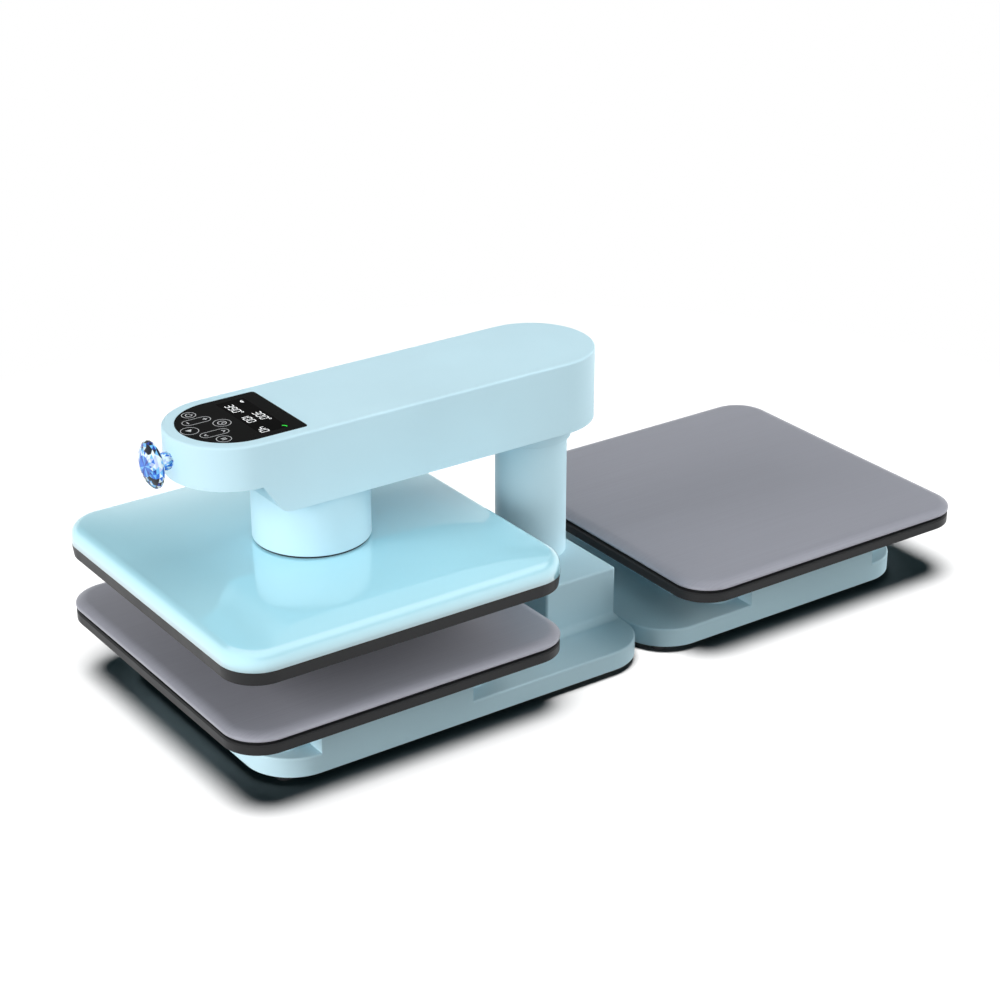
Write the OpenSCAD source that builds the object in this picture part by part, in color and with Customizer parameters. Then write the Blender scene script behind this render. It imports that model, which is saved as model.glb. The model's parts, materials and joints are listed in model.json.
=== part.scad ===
// Dual station heat press: two lower stations, a swing arm on a post, and a heat head that presses down.
// The post's axis is the Z axis, the floor is z = 0, and the arm rests over the station on the -X side.

/* [Stations] */
// Side of the square platens
platen_side = 380; // [340:5:400]
// Corner radius of the platens
platen_corner = 40; // [30:1:60]
// Distance from the post's axis to the centre of each station
station_offset = 270; // [262:1:300]
// Thickness of the lower tray's rim
tray_thick = 10; // [8:0.5:16]
// Chamfer on the tray's upper edge
tray_chamfer = 1.5; // [0.5:0.25:3]
// Height of the shadow gap between tray and pad
tray_step = 4; // [1:0.5:5]
// Depth of the shadow gap
tray_step_inset = 5; // [2:0.5:12]
// Thickness of the pad
pad_thick = 8; // [8:0.5:16]
// Height over which the pad's upper edge is round
pad_edge = 6; // [3:0.5:7]
// How far the pad stands back from the tray's side
pad_inset = 1; // [0.5:0.25:4]
// Distance from a tray screw to the station's centre lines
tray_screw_offset = 60; // [40:1:75]

/* [Base] */
// Height of the rubber feet
foot_height = 8; // [5:0.5:15]
// Radius of the rubber feet
foot_radius = 8; // [7:0.5:12]
// Distance from a foot's axis to the sides of its base
foot_inset = 26; // [22:0.5:32]
// Height of the base from the feet to the trays
base_height = 60; // [52:1:80]
// Width of the base from front to back
base_width = 313; // [290:1:340]
// Distance from a station's centre to the end of its base
base_reach = 142; // [130:1:165]
// Corner radius of the base
base_corner = 52; // [45:1:65]
// Height of the base's lower tier
tier_height = 20.5; // [18:0.5:28]
// Radius of the lower tier's upper edge
tier_edge = 2; // [1:0.5:8]
// How far the upper tier's corners stand back
support_inset = 22; // [15:1:35]
// Length of the upper tier's faces that are flush with the lower tier
support_face = 176; // [120:1:190]
// Wall of the base mouldings
base_wall = 3; // [2:0.25:4]
// Gap between the two bases
base_gap = 0.6; // [0.2:0.1:3]
// Thickness of the floor plates
floor_thick = 2.5; // [1.5:0.25:4]

/* [Pedestal] */
// Length of the pedestal along the arm
pedestal_length = 90; // [88:1:100]
// Width of the pedestal from front to back
pedestal_width = 184; // [160:1:200]
// How far the pedestal rises over the trays' undersides
pedestal_rise = 20; // [12:0.5:20]
// Radius of the pedestal's edges
pedestal_edge = 2.5; // [1:0.25:4]
// Radius of the cove around the pedestal's foot
cove_radius = 8; // [3:0.5:12]
// How far the left base runs past the pedestal
base_lip = 4.4; // [2:0.2:12]

/* [Post] */
// Radius of the post
post_radius = 38; // [37:0.5:42]
// Wall of the post sleeve
post_wall = 4; // [2:0.25:5]
// Radius of the collar under the arm
collar_radius = 42; // [41:0.5:52]
// Height of the collar
collar_height = 21; // [18:0.5:28]
// Radius of the cove under the collar
collar_cove = 3; // [1:0.5:7]
// Radius of the steel column
column_radius = 25; // [22:0.5:26]
// Radius of the cable bore in the column
column_bore = 12; // [6:0.5:16]
// Radius of the column's foot flange
column_flange = 40; // [36:0.5:41]
// Thickness of the column's foot flange
column_flange_thick = 6; // [4:0.5:10]

/* [Swivel] */
// Wall of the bronze bushes
bush_wall = 3; // [2:0.25:3]
// Length of each bush
bush_length = 18; // [12:0.5:20]
// Outer radius of the swivel hub
hub_radius = 39; // [38:0.5:39.5]
// Thickness of the thrust washer
washer_thick = 2; // [1:0.25:4]
// Radius of the stop pin
stop_radius = 2.5; // [1.5:0.25:3]
// Distance from the post's axis to the stop pin
stop_circle = 33.5; // [33:0.25:35.5]
// Depth of the stop slot in the support ring
stop_depth = 6; // [4:0.5:8]

/* [Arm] */
// Width of the arm
arm_width = 132; // [128:1:150]
// Distance from the post's axis to the tip of the nose
arm_reach = 422; // [410:1:440]
// Height of the arm
arm_height = 77.5; // [76:0.5:90]
// Height of the nose
nose_height = 45; // [40:0.5:50]
// Distance from the neck's axis to the foot of the slanted face
slant_start = 67; // [66:0.5:75]
// Length of the slanted face along the arm
slant_run = 22; // [10:1:30]
// Radius of the slanted face's lower corner
slant_round = 16; // [4:1:24]
// Wall of the arm shell
arm_wall = 3; // [2:0.25:3.5]
// Radius of the arm's upper edge
arm_edge = 2.5; // [1:0.25:2.5]
// Gap between the collar and the arm
swivel_gap = 0.5; // [0.3:0.1:1]
// Half width of the steel arm plate
arm_plate_half = 52; // [50:0.5:54]
// Thickness of the steel arm plate
arm_plate_thick = 4; // [3:0.5:5]
// Room between the arm plate and the arm's roof
arm_plate_drop = 9; // [8:0.5:10]

/* [Head] */
// Opening between pad and heat plate at rest
press_gap = 49.5; // [20:0.5:50]
// Gap left over the pad when the head is down
press_left = 0.3; // [0.2:0.1:2]
// Thickness of the heat plate
heat_plate_thick = 12; // [8:0.5:12]
// How far the heat plate stands out below the rim
heat_plate_proud = 1.5; // [0.5:0.25:3]
// Height of the dark rim
rim_height = 14; // [13.5:0.5:20]
// How far the rim's sides lean in towards the bottom
rim_draft = 2; // [0.5:0.25:4]
// Wall of the rim
rim_wall = 6; // [5:0.25:9]
// Gap around the heat plate
heat_plate_gap = 1; // [0.5:0.25:3]
// Height of the glossy cover
cover_height = 23.5; // [23:0.5:30]
// Height over which the cover's upper edge is round
cover_edge = 20; // [8:0.5:22]
// Wall of the cover
cover_wall = 3; // [2:0.25:4]
// Height of the shadow gap under the neck
neck_gap = 2; // [2:0.5:10]
// Height of the neck that shows at rest
neck_show = 63; // [56:0.5:70]
// Radius of the neck
neck_radius = 60; // [59:0.5:60]
// Wall of the neck
neck_wall = 4; // [2:0.25:4]
// Radius of the neck's lower edge
neck_edge = 1; // [0.5:0.25:3]
// Radius of the heating element's tube
heater_radius = 3.5; // [2:0.25:4]
// Distance between the runs of the heating element
heater_pitch = 50; // [45:1:54]
// Number of runs of the heating element
heater_runs = 6; // [4:2:6]

/* [Drive] */
// Radius of the lead screw
screw_radius = 6; // [5:0.25:6.5]
// Module of the gears
gear_module = 1.25; // [1.15:0.05:1.25]
// Teeth of the gear on the screw
gear_teeth = 40; // [38:2:42]
// Teeth of the motor's pinion
pinion_teeth = 12; // [12:2:14]
// Width of the gears
gear_width = 8; // [5:0.5:8]
// Radius of the gear motor
motor_radius = 17; // [14:0.5:17]
// Length of the gear motor
motor_length = 58; // [40:1:60]
// Radius of the guide rods
rod_radius = 6; // [4:0.25:6.5]
// Distance from the neck's axis to the guide rods
rod_circle = 42; // [41:0.5:43]
// Length of the guide bushes
guide_length = 48; // [40:1:50]

/* [Panel] */
// Distance from the panel's round edge to the arm's edge
panel_inset = 12.7; // [8:0.1:20]
// Distance from the nose's centre to the panel's straight end
panel_run = 55.7; // [50:0.1:65]
// Thickness of the panel glass
glass_thick = 1.6; // [1:0.1:2]
// Length of the display along the arm
display_length = 31; // [20:1:34]
// Width of the display across the arm
display_width = 88; // [60:1:92]
// Distance from the panel's straight end to the display
display_margin = 16.5; // [14:0.5:20]

/* [Knob] */
// Radius of the crystal knob
knob_radius = 24; // [15:0.5:26]
// Length of the crystal knob from the nose to its face
knob_length = 27; // [22:0.5:34]
// Radius of the crystal's ball neck
knob_neck = 9; // [7:0.5:11]
// Height of the knob's axis over the underside of the nose
knob_height = 21; // [15:0.5:25]

/* [Mains] */
// Width of the mains inlet
inlet_width = 27.2; // [25:0.1:30]
// Height of the mains inlet
inlet_height = 19.8; // [18:0.1:22]
// Distance from the post's axis to the inlet's middle
inlet_offset = 18; // [15:0.5:20]
// Distance from the post's axis to the switch's middle
switch_offset = 22; // [20:0.5:26]
// Angle through which the mains switch rocks
rocker_angle = 20; // [10:1:24]

/* [Fits] */
// Radial clearance of shafts that turn or slide
run_gap = 0.05; // [0.02:0.01:0.09]
// Radial clearance of screws and of parts that are fixed in a hole
fit_gap = 0.1; // [0.05:0.05:0.3]
// Clearance between parts that move past each other
move_gap = 0.5; // [0.3:0.1:0.8]

/* [Hidden] */
$fn = 64;

// How far a cut runs past a face
past = 1;
// A length that reaches through the whole part
through = 600;
// Radius of a crowned edge's tight arc, as a share of the edge's height
edge_tightness = 0.45;

// Heights, from the floor up
floor_z = foot_height;
floor_top = floor_z + floor_thick;
tier_z = foot_height + tier_height;
tray_z = foot_height + base_height;
tray_rim_z = tray_z + tray_thick;
pad_z = tray_rim_z + tray_step;
pad_top = pad_z + pad_thick;
pedestal_z = tray_z + pedestal_rise;
heat_z = pad_top + press_gap;
heat_top = heat_z + heat_plate_thick;
rim_z = heat_z + heat_plate_proud;
cover_z = rim_z + rim_height;
cover_top = cover_z + cover_height;
neck_z = cover_top + neck_gap;
arm_z = neck_z + neck_show;
arm_top = arm_z + arm_height;
roof_z = arm_top - arm_wall;
nose_z = arm_top - nose_height;
stroke = press_gap - press_left;

// Base
base_end = station_offset + base_reach;
base_a_inner = pedestal_length / 2 + base_lip;
base_b_inner = base_a_inner + base_gap;
support_corner = 12;
foot_hole = 2.3;
foot_screw_radius = 2;
foot_head_radius = 4.5;
foot_head_height = 2.5;
foot_head_z = foot_height / 2 - foot_head_height;
foot_boss_radius = 8;
foot_screw_top = tier_z - base_wall - 3;
rib_depth = 15;
pad_fall = 2.2 * pad_edge;
tray_screw_radius = 2.5;
tray_screw_head = 5;
tray_screw_head_height = 4;
tray_screw_top = tray_rim_z - 2;

// Link bars between the two bases, and their bolts
link_offset = 60;
link_width = 24;
link_thick = 4;
link_start = -15;
link_overlap = 65;
link_end = base_b_inner + link_overlap;
link_bolt_margin = 15;
link_bolt_pitch = 25;
link_bolt_x = [
    link_start + link_bolt_margin,
    link_start + link_bolt_margin + link_bolt_pitch,
    link_end - link_bolt_margin - link_bolt_pitch,
    link_end - link_bolt_margin
];
floor_bolt_radius = 3;
floor_bolt_head = 5;
floor_bolt_head_height = 4;
column_bolt_circle = column_radius + (column_flange - column_radius) / 2;

// Power board
board_length = 120;
board_width = 80;
board_thick = 1.6;
board_pip_height = 7.5;
board_pip_radius = 4;
board_z = floor_top + board_pip_height;
transformer_size = [40, 34, 18];
transformer_place = [-45, -25, 0];
relay_size = [28, 16, 14];
relay_place = [12, -28, 0];
capacitor_radius = 8;
capacitor_height = 18;
capacitor_places = [[14, 14, 0], [36, 14, 0]];

// Post and swivel
collar_top = arm_z - swivel_gap;
collar_z = collar_top - collar_height;
collar_wall = 2.5;
ring_radius = collar_radius - collar_wall;
ring_z = collar_top - 13;
ring_top = collar_top - 1;
hub_z = ring_top + washer_thick;
arm_plate_z = roof_z - arm_plate_drop - arm_plate_thick;
arm_plate_top = arm_plate_z + arm_plate_thick;
hub_bore = column_radius + bush_wall;
washer_radius = stop_circle - stop_radius - 1.5;
bush_z = [hub_z + 0.3, arm_plate_z - 15 - bush_length];
nut_z = bush_z[1] + bush_length + 0.3;
nut_height = 7;
column_top = nut_z + nut_height;
hub_bolt_radius = 2;
hub_bolt_circle = (hub_bore + hub_radius) / 2;
hub_bolt_count = 6;
hub_bolt_depth = 12;
hub_bolt_head = 3.5;
hub_bolt_head_height = 4;
stop_seat = 8;

// Arm
arm_half = arm_width / 2;
nose_x = arm_half - arm_reach;
slant_x = -station_offset - slant_start;
slant_top = slant_x - slant_run;
// How much the round corner's circle is larger than one that only touches both faces
slant_blend = 0.05;
floor_cover_thick = 3;
cover_post_radius = 4;
front_post_x = slant_top - cover_post_radius - 1;
front_boss_x = nose_x - 6;
arm_plate_margin = 8;
arm_plate_front = min(front_post_x, front_boss_x) - arm_plate_margin;
arm_plate_rear = 40;
arm_plate_corner = 20;
arm_plate_gap = 5;
shell_boss_radius = 5;
shell_boss_points = [[-60, 40], [slant_start + 8 - station_offset, 42], [front_boss_x, 40]];
shell_screw_radius = 2;
shell_screw_head = 4;
shell_screw_head_height = 3;
shell_screw_depth = 6;
post_points = [[-150, 45], [front_post_x, 10]];
cover_screw_radius = 1.8;
cover_screw_head = 3.2;
cover_screw_head_height = 1.5;
cover_screw_depth = 12;

// Drive
gear_radius = gear_module * gear_teeth / 2;
pinion_radius = gear_module * pinion_teeth / 2;
motor_offset = gear_radius + pinion_radius;
pressure_angle = 20;
addendum = 0.85;
dedendum = 1.2;
tooth_play = 0.2;
drive_plate_thick = 4;
drive_space = 18;
drive_z = arm_plate_z - drive_space - drive_plate_thick;
drive_top = drive_z + drive_plate_thick;
neck_inner = neck_radius - neck_wall;
drive_radius = neck_inner - 2;
spacer_radius = 4;
spacer_circle = drive_radius - spacer_radius - 4;
neck_top = arm_plate_z - 5;
carriage_thick = 5;
carriage_top = neck_z + carriage_thick;
neck_foot_outer = neck_radius - 3;
neck_foot_inner = neck_radius - 15;
carriage_radius = neck_inner - 0.4;
carriage_bolt_radius = 4;
carriage_bolt_head = 6.5;
carriage_bolt_head_height = 5;
carriage_bolt_circle = neck_foot_inner - carriage_bolt_radius - 1;
screw_z = carriage_top + 4;
screw_collar_height = 3;
screw_collar_radius = screw_radius + 3;
bearing_wall = 5;
bearing_height = 7;
bearing_play = 0.2;
bearing_z = [drive_z - 2, arm_plate_z - 2];
gear_hub_z = bearing_z[0] + bearing_height + bearing_play;
gear_hub_height = bearing_z[1] - bearing_play - gear_hub_z;
gear_z = drive_top + 3;
screw_collar_z = bearing_z[1] + bearing_height + bearing_play;
screw_top = screw_collar_z + screw_collar_height;
motor_shaft_radius = 3;
motor_shaft_seat = 13;
motor_z = drive_z - motor_length;
motor_boss_hole = 5;
rod_top = roof_z - 4;
guide_wall = 3;
guide_flange = 3;
guide_flange_height = 4;
guide_z = drive_top - guide_length;
nut_tube_outer = 13;
nut_tube_bore = screw_radius + 2;
lift_nut_outer = 10;
lift_nut_flange_height = 3;
lift_nut_height = 19;
lift_nut_z = screw_z + stroke + 2;

// Head
plate_side = platen_side - 2 * (rim_wall + heat_plate_gap);
plate_corner = platen_corner - rim_wall - heat_plate_gap;
cover_fall = cover_edge + 0.8 * (platen_corner - cover_edge);
rim_flange_wall = 14;
rim_flange_gap = 0.5;
mount_thick = 5;
mount_z = cover_top - cover_wall - mount_thick;
mount_side = 230;
mount_corner = 15;
standoff_x = 100;
standoff_y = 2 * heater_pitch;
standoff_radius = 5;
standoff_collar = 8;
board_gap = 8.5;
insulation_z = heat_top + board_gap;
insulation_thick = 8;
insulation_side = platen_side - 2 * (rim_flange_wall + 2);
heater_margin = 43;
heater_run = plate_side - 2 * heater_margin;
heater_z = heat_top + heater_radius + 0.05;
cutout_radius = 8;

// Panel
glass_top = arm_top + 0.1;
glass_z = glass_top - glass_thick;
glass_gap = 0.3;
panel_corner = 4;
panel_radius = arm_half - panel_inset;
display_x = nose_x + panel_run - display_margin - display_length / 2;
display_gap = 1;
control_board_thick = 1.6;
control_board_drop = 2;
control_board_z = roof_z - control_board_drop - control_board_thick;
control_board_radius = arm_half - arm_wall - 9;
control_pips = [[nose_x + panel_run - 6, 40], [nose_x - 40, 15]];
control_pip_radius = 3;

// Knob
knob_z = nose_z + knob_height;
knob_sides = 12;
knob_stud_radius = 3;
knob_stud_head = 6;
knob_stud_head_height = 4;
knob_stud_depth = 8;

// Mains
mains_z = (tier_z + pedestal_z) / 2 + 3;
inlet_rim = 2;
inlet_depth = 22;
inlet_socket_width = 24;
inlet_socket_height = 16;
inlet_socket_depth = 16;
inlet_pin_pitch = 7;
inlet_pin_recess = 6;
inlet_pin_size = [2, 4];
switch_width = 12.8;
switch_height = 19.4;
switch_depth = 20;
rocker_radius = 7.4;
rocker_width = 9;
rocker_pivot = 1.5;
rocker_pin = 1.2;
rocker_y = pedestal_width / 2 + 0.5;
rocker_face = 2;
rocker_tip = 3.5;

// Colours
pale_blue = "#b9dfea";
gloss_blue = "#c3eaf3";
dark_grey = "#38383b";
pad_grey = "#8e8e97";
black = "#151517";
rubber_black = "#202022";
steel = "#a9adb2";
bronze = "#b08d57";
board_green = "#2f6b45";
crystal_blue = "#4f8fe6";
fibre_white = "#e6e2d8";

// Shapes that repeat

// Rectangle with round corners, about the origin
module rounded_rect(x, y, r) {
    square([x - 2 * r, y], center = true);
    if (y > 2 * r) square([x, y - 2 * r], center = true);
    for (sx = [-1, 1])
        for (sy = y > 2 * r ? [-1, 1] : [0])
            translate([sx * (x / 2 - r), sy * (y / 2 - r)]) circle(r);
}

// Plate with round corners, standing on z = 0
module rounded_plate(x, y, r, h) {
    linear_extrude(h) rounded_rect(x, y, r);
}

// Upper edge of a slab whose top starts to fall well in from its side: a tight arc at the side that runs
// into a wide one
module crowned_edge(half, h, e, fall) {
    tight = edge_tightness * e;
    wide = (pow(fall - tight, 2) + e * e - tight * tight) / (2 * (e - tight));
    heart = [half - fall, h - wide];
    lean = [fall - tight, wide - e] / (wide - tight);
    translate([half - tight, h - e]) circle(tight);
    intersection() {
        translate(heart) circle(wide);
        polygon([heart, heart + [0, 2 * wide], heart + 2 * wide * lean]);
    }
}

// Half of a slab's cross-section, from its middle out to its side, with a round upper edge and a cove
// that leads out at its foot
module edge_profile(half, h, e, cove, fall) {
    intersection() {
        union() {
            square([half, h - e]);
            square([half - fall, h]);
            if (fall > e)
                crowned_edge(half, h, e, fall);
            else
                translate([half - e, h - e]) circle(e);
        }
        square([half, h]);
    }
    if (cove > 0) difference() {
        square([half + cove, cove + past]);
        translate([half + cove, cove + past]) circle(cove);
    }
}

// Both halves of a slab's cross-section
module slab_profile(width, h, e, cove, fall) {
    edge_profile(width / 2, h, e, cove, fall);
    mirror([1, 0]) edge_profile(width / 2, h, e, cove, fall);
}

// Slab with round corners and a round upper edge, standing on z = 0; its top is level up to where it starts
// to fall towards the edge
module soft_slab(x, y, r, h, e, cove = 0, fall = 0) {
    level_inset = max(fall, e);
    for (sx = [-1, 1])
        for (sy = y > 2 * r ? [-1, 1] : [0])
            translate([sx * (x / 2 - r), sy * (y / 2 - r), 0])
                rotate_extrude() edge_profile(r, h, e, cove, level_inset);
    rotate([90, 0, 90])
        linear_extrude(x - 2 * r, center = true) slab_profile(y, h, e, cove, level_inset);
    if (y > 2 * r)
        rotate([90, 0, 180])
            linear_extrude(y - 2 * r, center = true) slab_profile(x, h, e, cove, level_inset);
}

// Plate whose sides lean, from one rounded rectangle at the bottom to another at the top
module draft_plate(x0, x1, r0, r1, h) {
    reach = x0 / 2 - r0;
    for (sx = [-1, 1])
        for (sy = [-1, 1])
            translate([sx * reach, sy * reach, 0]) cylinder(h = h, r1 = r0, r2 = r1);
    side = [[-x0 / 2, 0], [x0 / 2, 0], [x1 / 2, h], [-x1 / 2, h]];
    for (turn = [0, 90])
        rotate([90, 0, turn])
            linear_extrude(2 * reach, center = true) polygon(side);
}

// Ring or tube standing on z = 0
module ring(outer, inner, h) {
    difference() {
        cylinder(h = h, r = outer);
        translate([0, 0, -past]) cylinder(h = h + 2 * past, r = inner);
    }
}

// Screw with its head down at z = 0 and its shank upward
module screw_up(head, head_h, shank, length) {
    cylinder(h = head_h, r = head);
    cylinder(h = head_h + length, r = shank);
}

// Screw with its head up: the head stands on z = 0 and the shank goes down
module screw_down(head, head_h, shank, length) {
    rotate([180, 0, 0]) translate([0, 0, -head_h]) screw_up(head, head_h, shank, length);
}

// Copies at plus and minus x and y
module four(x, y) {
    for (sx = [-1, 1])
        for (sy = [-1, 1])
            translate([sx * x, sy * y, 0]) children();
}

// Copies at points and at the same points on the other side of the arm
module pairs(points) {
    for (p = points)
        for (sy = [-1, 1])
            translate([p[0], sy * p[1], 0]) children();
}

// Copies evenly around the Z axis
module around(count, radius, start = 0) {
    for (i = [0 : count - 1])
        rotate([0, 0, start + i * 360 / count]) translate([radius, 0, 0]) children();
}

// Moves to the station on one side: -1 is under the arm
module station(side) {
    translate([side * station_offset, 0, 0]) children();
}

// Outline of an arm-shaped stadium between the nose and the rear, drawn in by an inset
module arm_outline(inset) {
    translate([(arm_half - arm_reach) / 2, 0])
        rounded_rect(arm_reach + arm_half - 2 * inset, arm_width - 2 * inset, arm_half - inset);
}

// Panel outline: round towards the nose's tip, straight towards the post
module panel_outline(radius, run, corner) {
    translate([nose_x, 0]) {
        circle(radius);
        translate([0, -radius]) square([run - corner, 2 * radius]);
        translate([0, corner - radius]) square([run, 2 * (radius - corner)]);
        for (sy = [-1, 1])
            translate([run - corner, sy * (radius - corner)]) circle(corner);
    }
}

// Involute gear outline
function involute(angle) = tan(angle) * 180 / PI - angle;
function tooth_half(teeth, r) =
    let (pitch_r = gear_module * teeth / 2)
    let (base_r = pitch_r * cos(pressure_angle))
    let (at_pitch = 90 / teeth - tooth_play / 2 / pitch_r * 180 / PI)
    at_pitch + involute(pressure_angle) - involute(acos(min(1, base_r / max(r, base_r))));
function gear_flank(teeth) =
    let (pitch_r = gear_module * teeth / 2)
    let (low = pitch_r - dedendum * gear_module)
    let (start = max(low, pitch_r * cos(pressure_angle)))
    let (high = pitch_r + addendum * gear_module)
    concat([low], [for (i = [0 : 4]) start + (high - start) * i / 4 + 0.001]);
function gear_outline(teeth) = [
    for (i = [0 : teeth - 1])
        for (side = [-1, 1])
            for (k = [0 : 5])
                let (r = gear_flank(teeth)[side < 0 ? k : 5 - k])
                let (a = i * 360 / teeth + side * tooth_half(teeth, r))
                [r * cos(a), r * sin(a)]
];

// Base

// Outline of a base between two ends, drawn in by an inset
module base_outline(x0, x1, inset) {
    translate([(x0 + x1) / 2, 0])
        rounded_rect(x1 - x0 - 2 * inset, base_width - 2 * inset, base_corner - inset);
}

// Plus-shaped upper tier under a tray, drawn in by an inset
module support_outline(inset) {
    face = support_face - 2 * inset;
    rounded_rect(
        2 * (base_reach - support_inset - inset),
        base_width - 2 * (support_inset + inset),
        support_corner - inset
    );
    square([face, base_width - 2 * inset], center = true);
    square([2 * (base_reach - inset), face], center = true);
}

// Outside of one base, without the pedestal
module base_body(x0, x1, side) {
    translate([(x0 + x1) / 2, 0, foot_height])
        soft_slab(x1 - x0, base_width, base_corner, tier_height, tier_edge);
    station(side) translate([0, 0, foot_height]) linear_extrude(base_height) support_outline(0);
}

// Hollow of one base, without the pedestal
module base_hollow(x0, x1, side) {
    translate([0, 0, foot_height - past])
        linear_extrude(tier_height - base_wall + past) base_outline(x0, x1, base_wall);
    station(side)
        translate([0, 0, foot_height - past])
            linear_extrude(base_height - base_wall + past) support_outline(base_wall);
}

// Feet positions of one base
module at_feet(x0, x1) {
    for (x = [x0 + foot_inset, x1 - foot_inset])
        for (sy = [-1, 1])
            translate([x, sy * (base_width / 2 - foot_inset), 0]) children();
}

// Columns inside a base that take the foot screws
module foot_bosses(x0, x1) {
    at_feet(x0, x1)
        translate([0, 0, floor_top]) difference() {
            cylinder(h = tier_z - base_wall - floor_top + past, r = foot_boss_radius);
            translate([0, 0, -past])
                cylinder(h = foot_screw_top - floor_top + past + fit_gap, r = foot_screw_radius + fit_gap);
        }
}

// Crossed ribs under the roof of a station
module station_ribs(side) {
    station(side)
        translate([0, 0, tray_z - base_wall - rib_depth])
            linear_extrude(rib_depth + past / 2) {
                square([2 * base_reach - base_wall, base_wall], center = true);
                square([base_wall, base_width - base_wall], center = true);
            }
}

// Holes for the screws that hold a tray
module tray_screw_holes(side) {
    station(side)
        four(tray_screw_offset, tray_screw_offset)
            translate([0, 0, tray_z - base_wall - past])
                cylinder(h = base_wall + 2 * past, r = tray_screw_radius + fit_gap);
}

// Slots in the end walls for the link bars
module link_slots() {
    for (sy = [-1, 1])
        translate([base_a_inner - 2 * base_wall, sy * link_offset - link_width / 2 - fit_gap, -past])
            cube([
                4 * base_wall + base_gap,
                link_width + 2 * fit_gap,
                floor_top + link_thick + fit_gap + past
            ]);
}

// Pedestal with the cove around its foot, kept back from the end of the base
module pedestal_body() {
    intersection() {
        translate([0, 0, tier_z - past])
            soft_slab(
                pedestal_length,
                pedestal_width,
                pedestal_edge + 0.5,
                pedestal_z - tier_z + past,
                pedestal_edge,
                cove_radius
            );
        linear_extrude(pedestal_z + past) base_outline(-base_end, base_a_inner, tier_edge / 2);
    }
}

module base_shell_a() {
    color(pale_blue) difference() {
        union() {
            difference() {
                union() {
                    base_body(-base_end, base_a_inner, -1);
                    pedestal_body();
                }
                base_hollow(-base_end, base_a_inner, -1);
                translate([0, 0, foot_height])
                    rounded_plate(
                        pedestal_length - 2 * base_wall,
                        pedestal_width - 2 * base_wall,
                        pedestal_edge,
                        pedestal_z - base_wall - foot_height
                    );
            }
            foot_bosses(-base_end, base_a_inner);
            station_ribs(-1);
        }
        tray_screw_holes(-1);
        link_slots();
        cylinder(h = through, r = column_radius + fit_gap);
        mains_cut(inlet_offset * -1, inlet_width, inlet_height);
        mains_cut(switch_offset, switch_width, switch_height);
    }
}

// Opening in the pedestal's back wall
module mains_cut(x, width, height) {
    translate([x, pedestal_width / 2, mains_z])
        cube([width + 2 * fit_gap, 4 * base_wall, height + 2 * fit_gap], center = true);
}

module base_shell_b() {
    color(pale_blue) difference() {
        union() {
            difference() {
                base_body(base_b_inner, base_end, 1);
                base_hollow(base_b_inner, base_end, 1);
            }
            foot_bosses(base_b_inner, base_end);
            station_ribs(1);
        }
        tray_screw_holes(1);
        link_slots();
    }
}

// Floor plate of one base with its screw holes
module floor_plate(x0, x1) {
    difference() {
        translate([0, 0, floor_z])
            linear_extrude(floor_thick) base_outline(x0, x1, base_wall + fit_gap);
        at_feet(x0, x1) cylinder(h = floor_top + past, r = foot_screw_radius + fit_gap);
        at_link_bolts() cylinder(h = floor_top + past, r = floor_bolt_radius + fit_gap);
    }
}

// Positions of the bolts through the link bars
module at_link_bolts() {
    for (x = link_bolt_x)
        for (sy = [-1, 1])
            translate([x, sy * link_offset, 0]) children();
}

module floor_plate_a() {
    color(steel) {
        difference() {
            floor_plate(-base_end, base_a_inner);
            around(4, column_bolt_circle, 45)
                cylinder(h = floor_top + past, r = floor_bolt_radius + fit_gap);
        }
        station(-1)
            four(board_length / 2 - 8, board_width / 2 - 8)
                translate([0, 0, floor_z + floor_thick / 2])
                    cylinder(h = board_z - floor_z - floor_thick / 2, r = board_pip_radius);
    }
}

module floor_plate_b() {
    color(steel) floor_plate(base_b_inner, base_end);
}

module link_bars() {
    color(steel) difference() {
        for (sy = [-1, 1])
            translate([link_start, sy * link_offset - link_width / 2, floor_top])
                cube([link_end - link_start, link_width, link_thick]);
        at_link_bolts() cylinder(h = floor_top + link_thick + past, r = floor_bolt_radius + fit_gap);
    }
}

module floor_bolts() {
    color(steel) {
        at_link_bolts()
            translate([0, 0, floor_top + link_thick])
                screw_down(
                    floor_bolt_head,
                    floor_bolt_head_height,
                    floor_bolt_radius,
                    floor_thick + link_thick
                );
        around(4, column_bolt_circle, 45)
            translate([0, 0, floor_top + column_flange_thick])
                screw_down(
                    floor_bolt_head,
                    floor_bolt_head_height,
                    floor_bolt_radius,
                    floor_thick + column_flange_thick
                );
    }
}

// Positions of all feet
module at_all_feet() {
    at_feet(-base_end, base_a_inner) children();
    at_feet(base_b_inner, base_end) children();
}

module feet() {
    color(rubber_black)
        at_all_feet() difference() {
            cylinder(h = foot_height, r = foot_radius);
            translate([0, 0, -past]) cylinder(h = foot_height + 2 * past, r = foot_hole);
            translate([0, 0, -past]) cylinder(h = foot_height / 2 + past, r = foot_head_radius + move_gap);
        }
}

module foot_screws() {
    color(steel)
        at_all_feet()
            translate([0, 0, foot_head_z])
                screw_up(
                    foot_head_radius,
                    foot_head_height,
                    foot_screw_radius,
                    foot_screw_top - foot_head_z - foot_head_height
                );
}

// Stations

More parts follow.
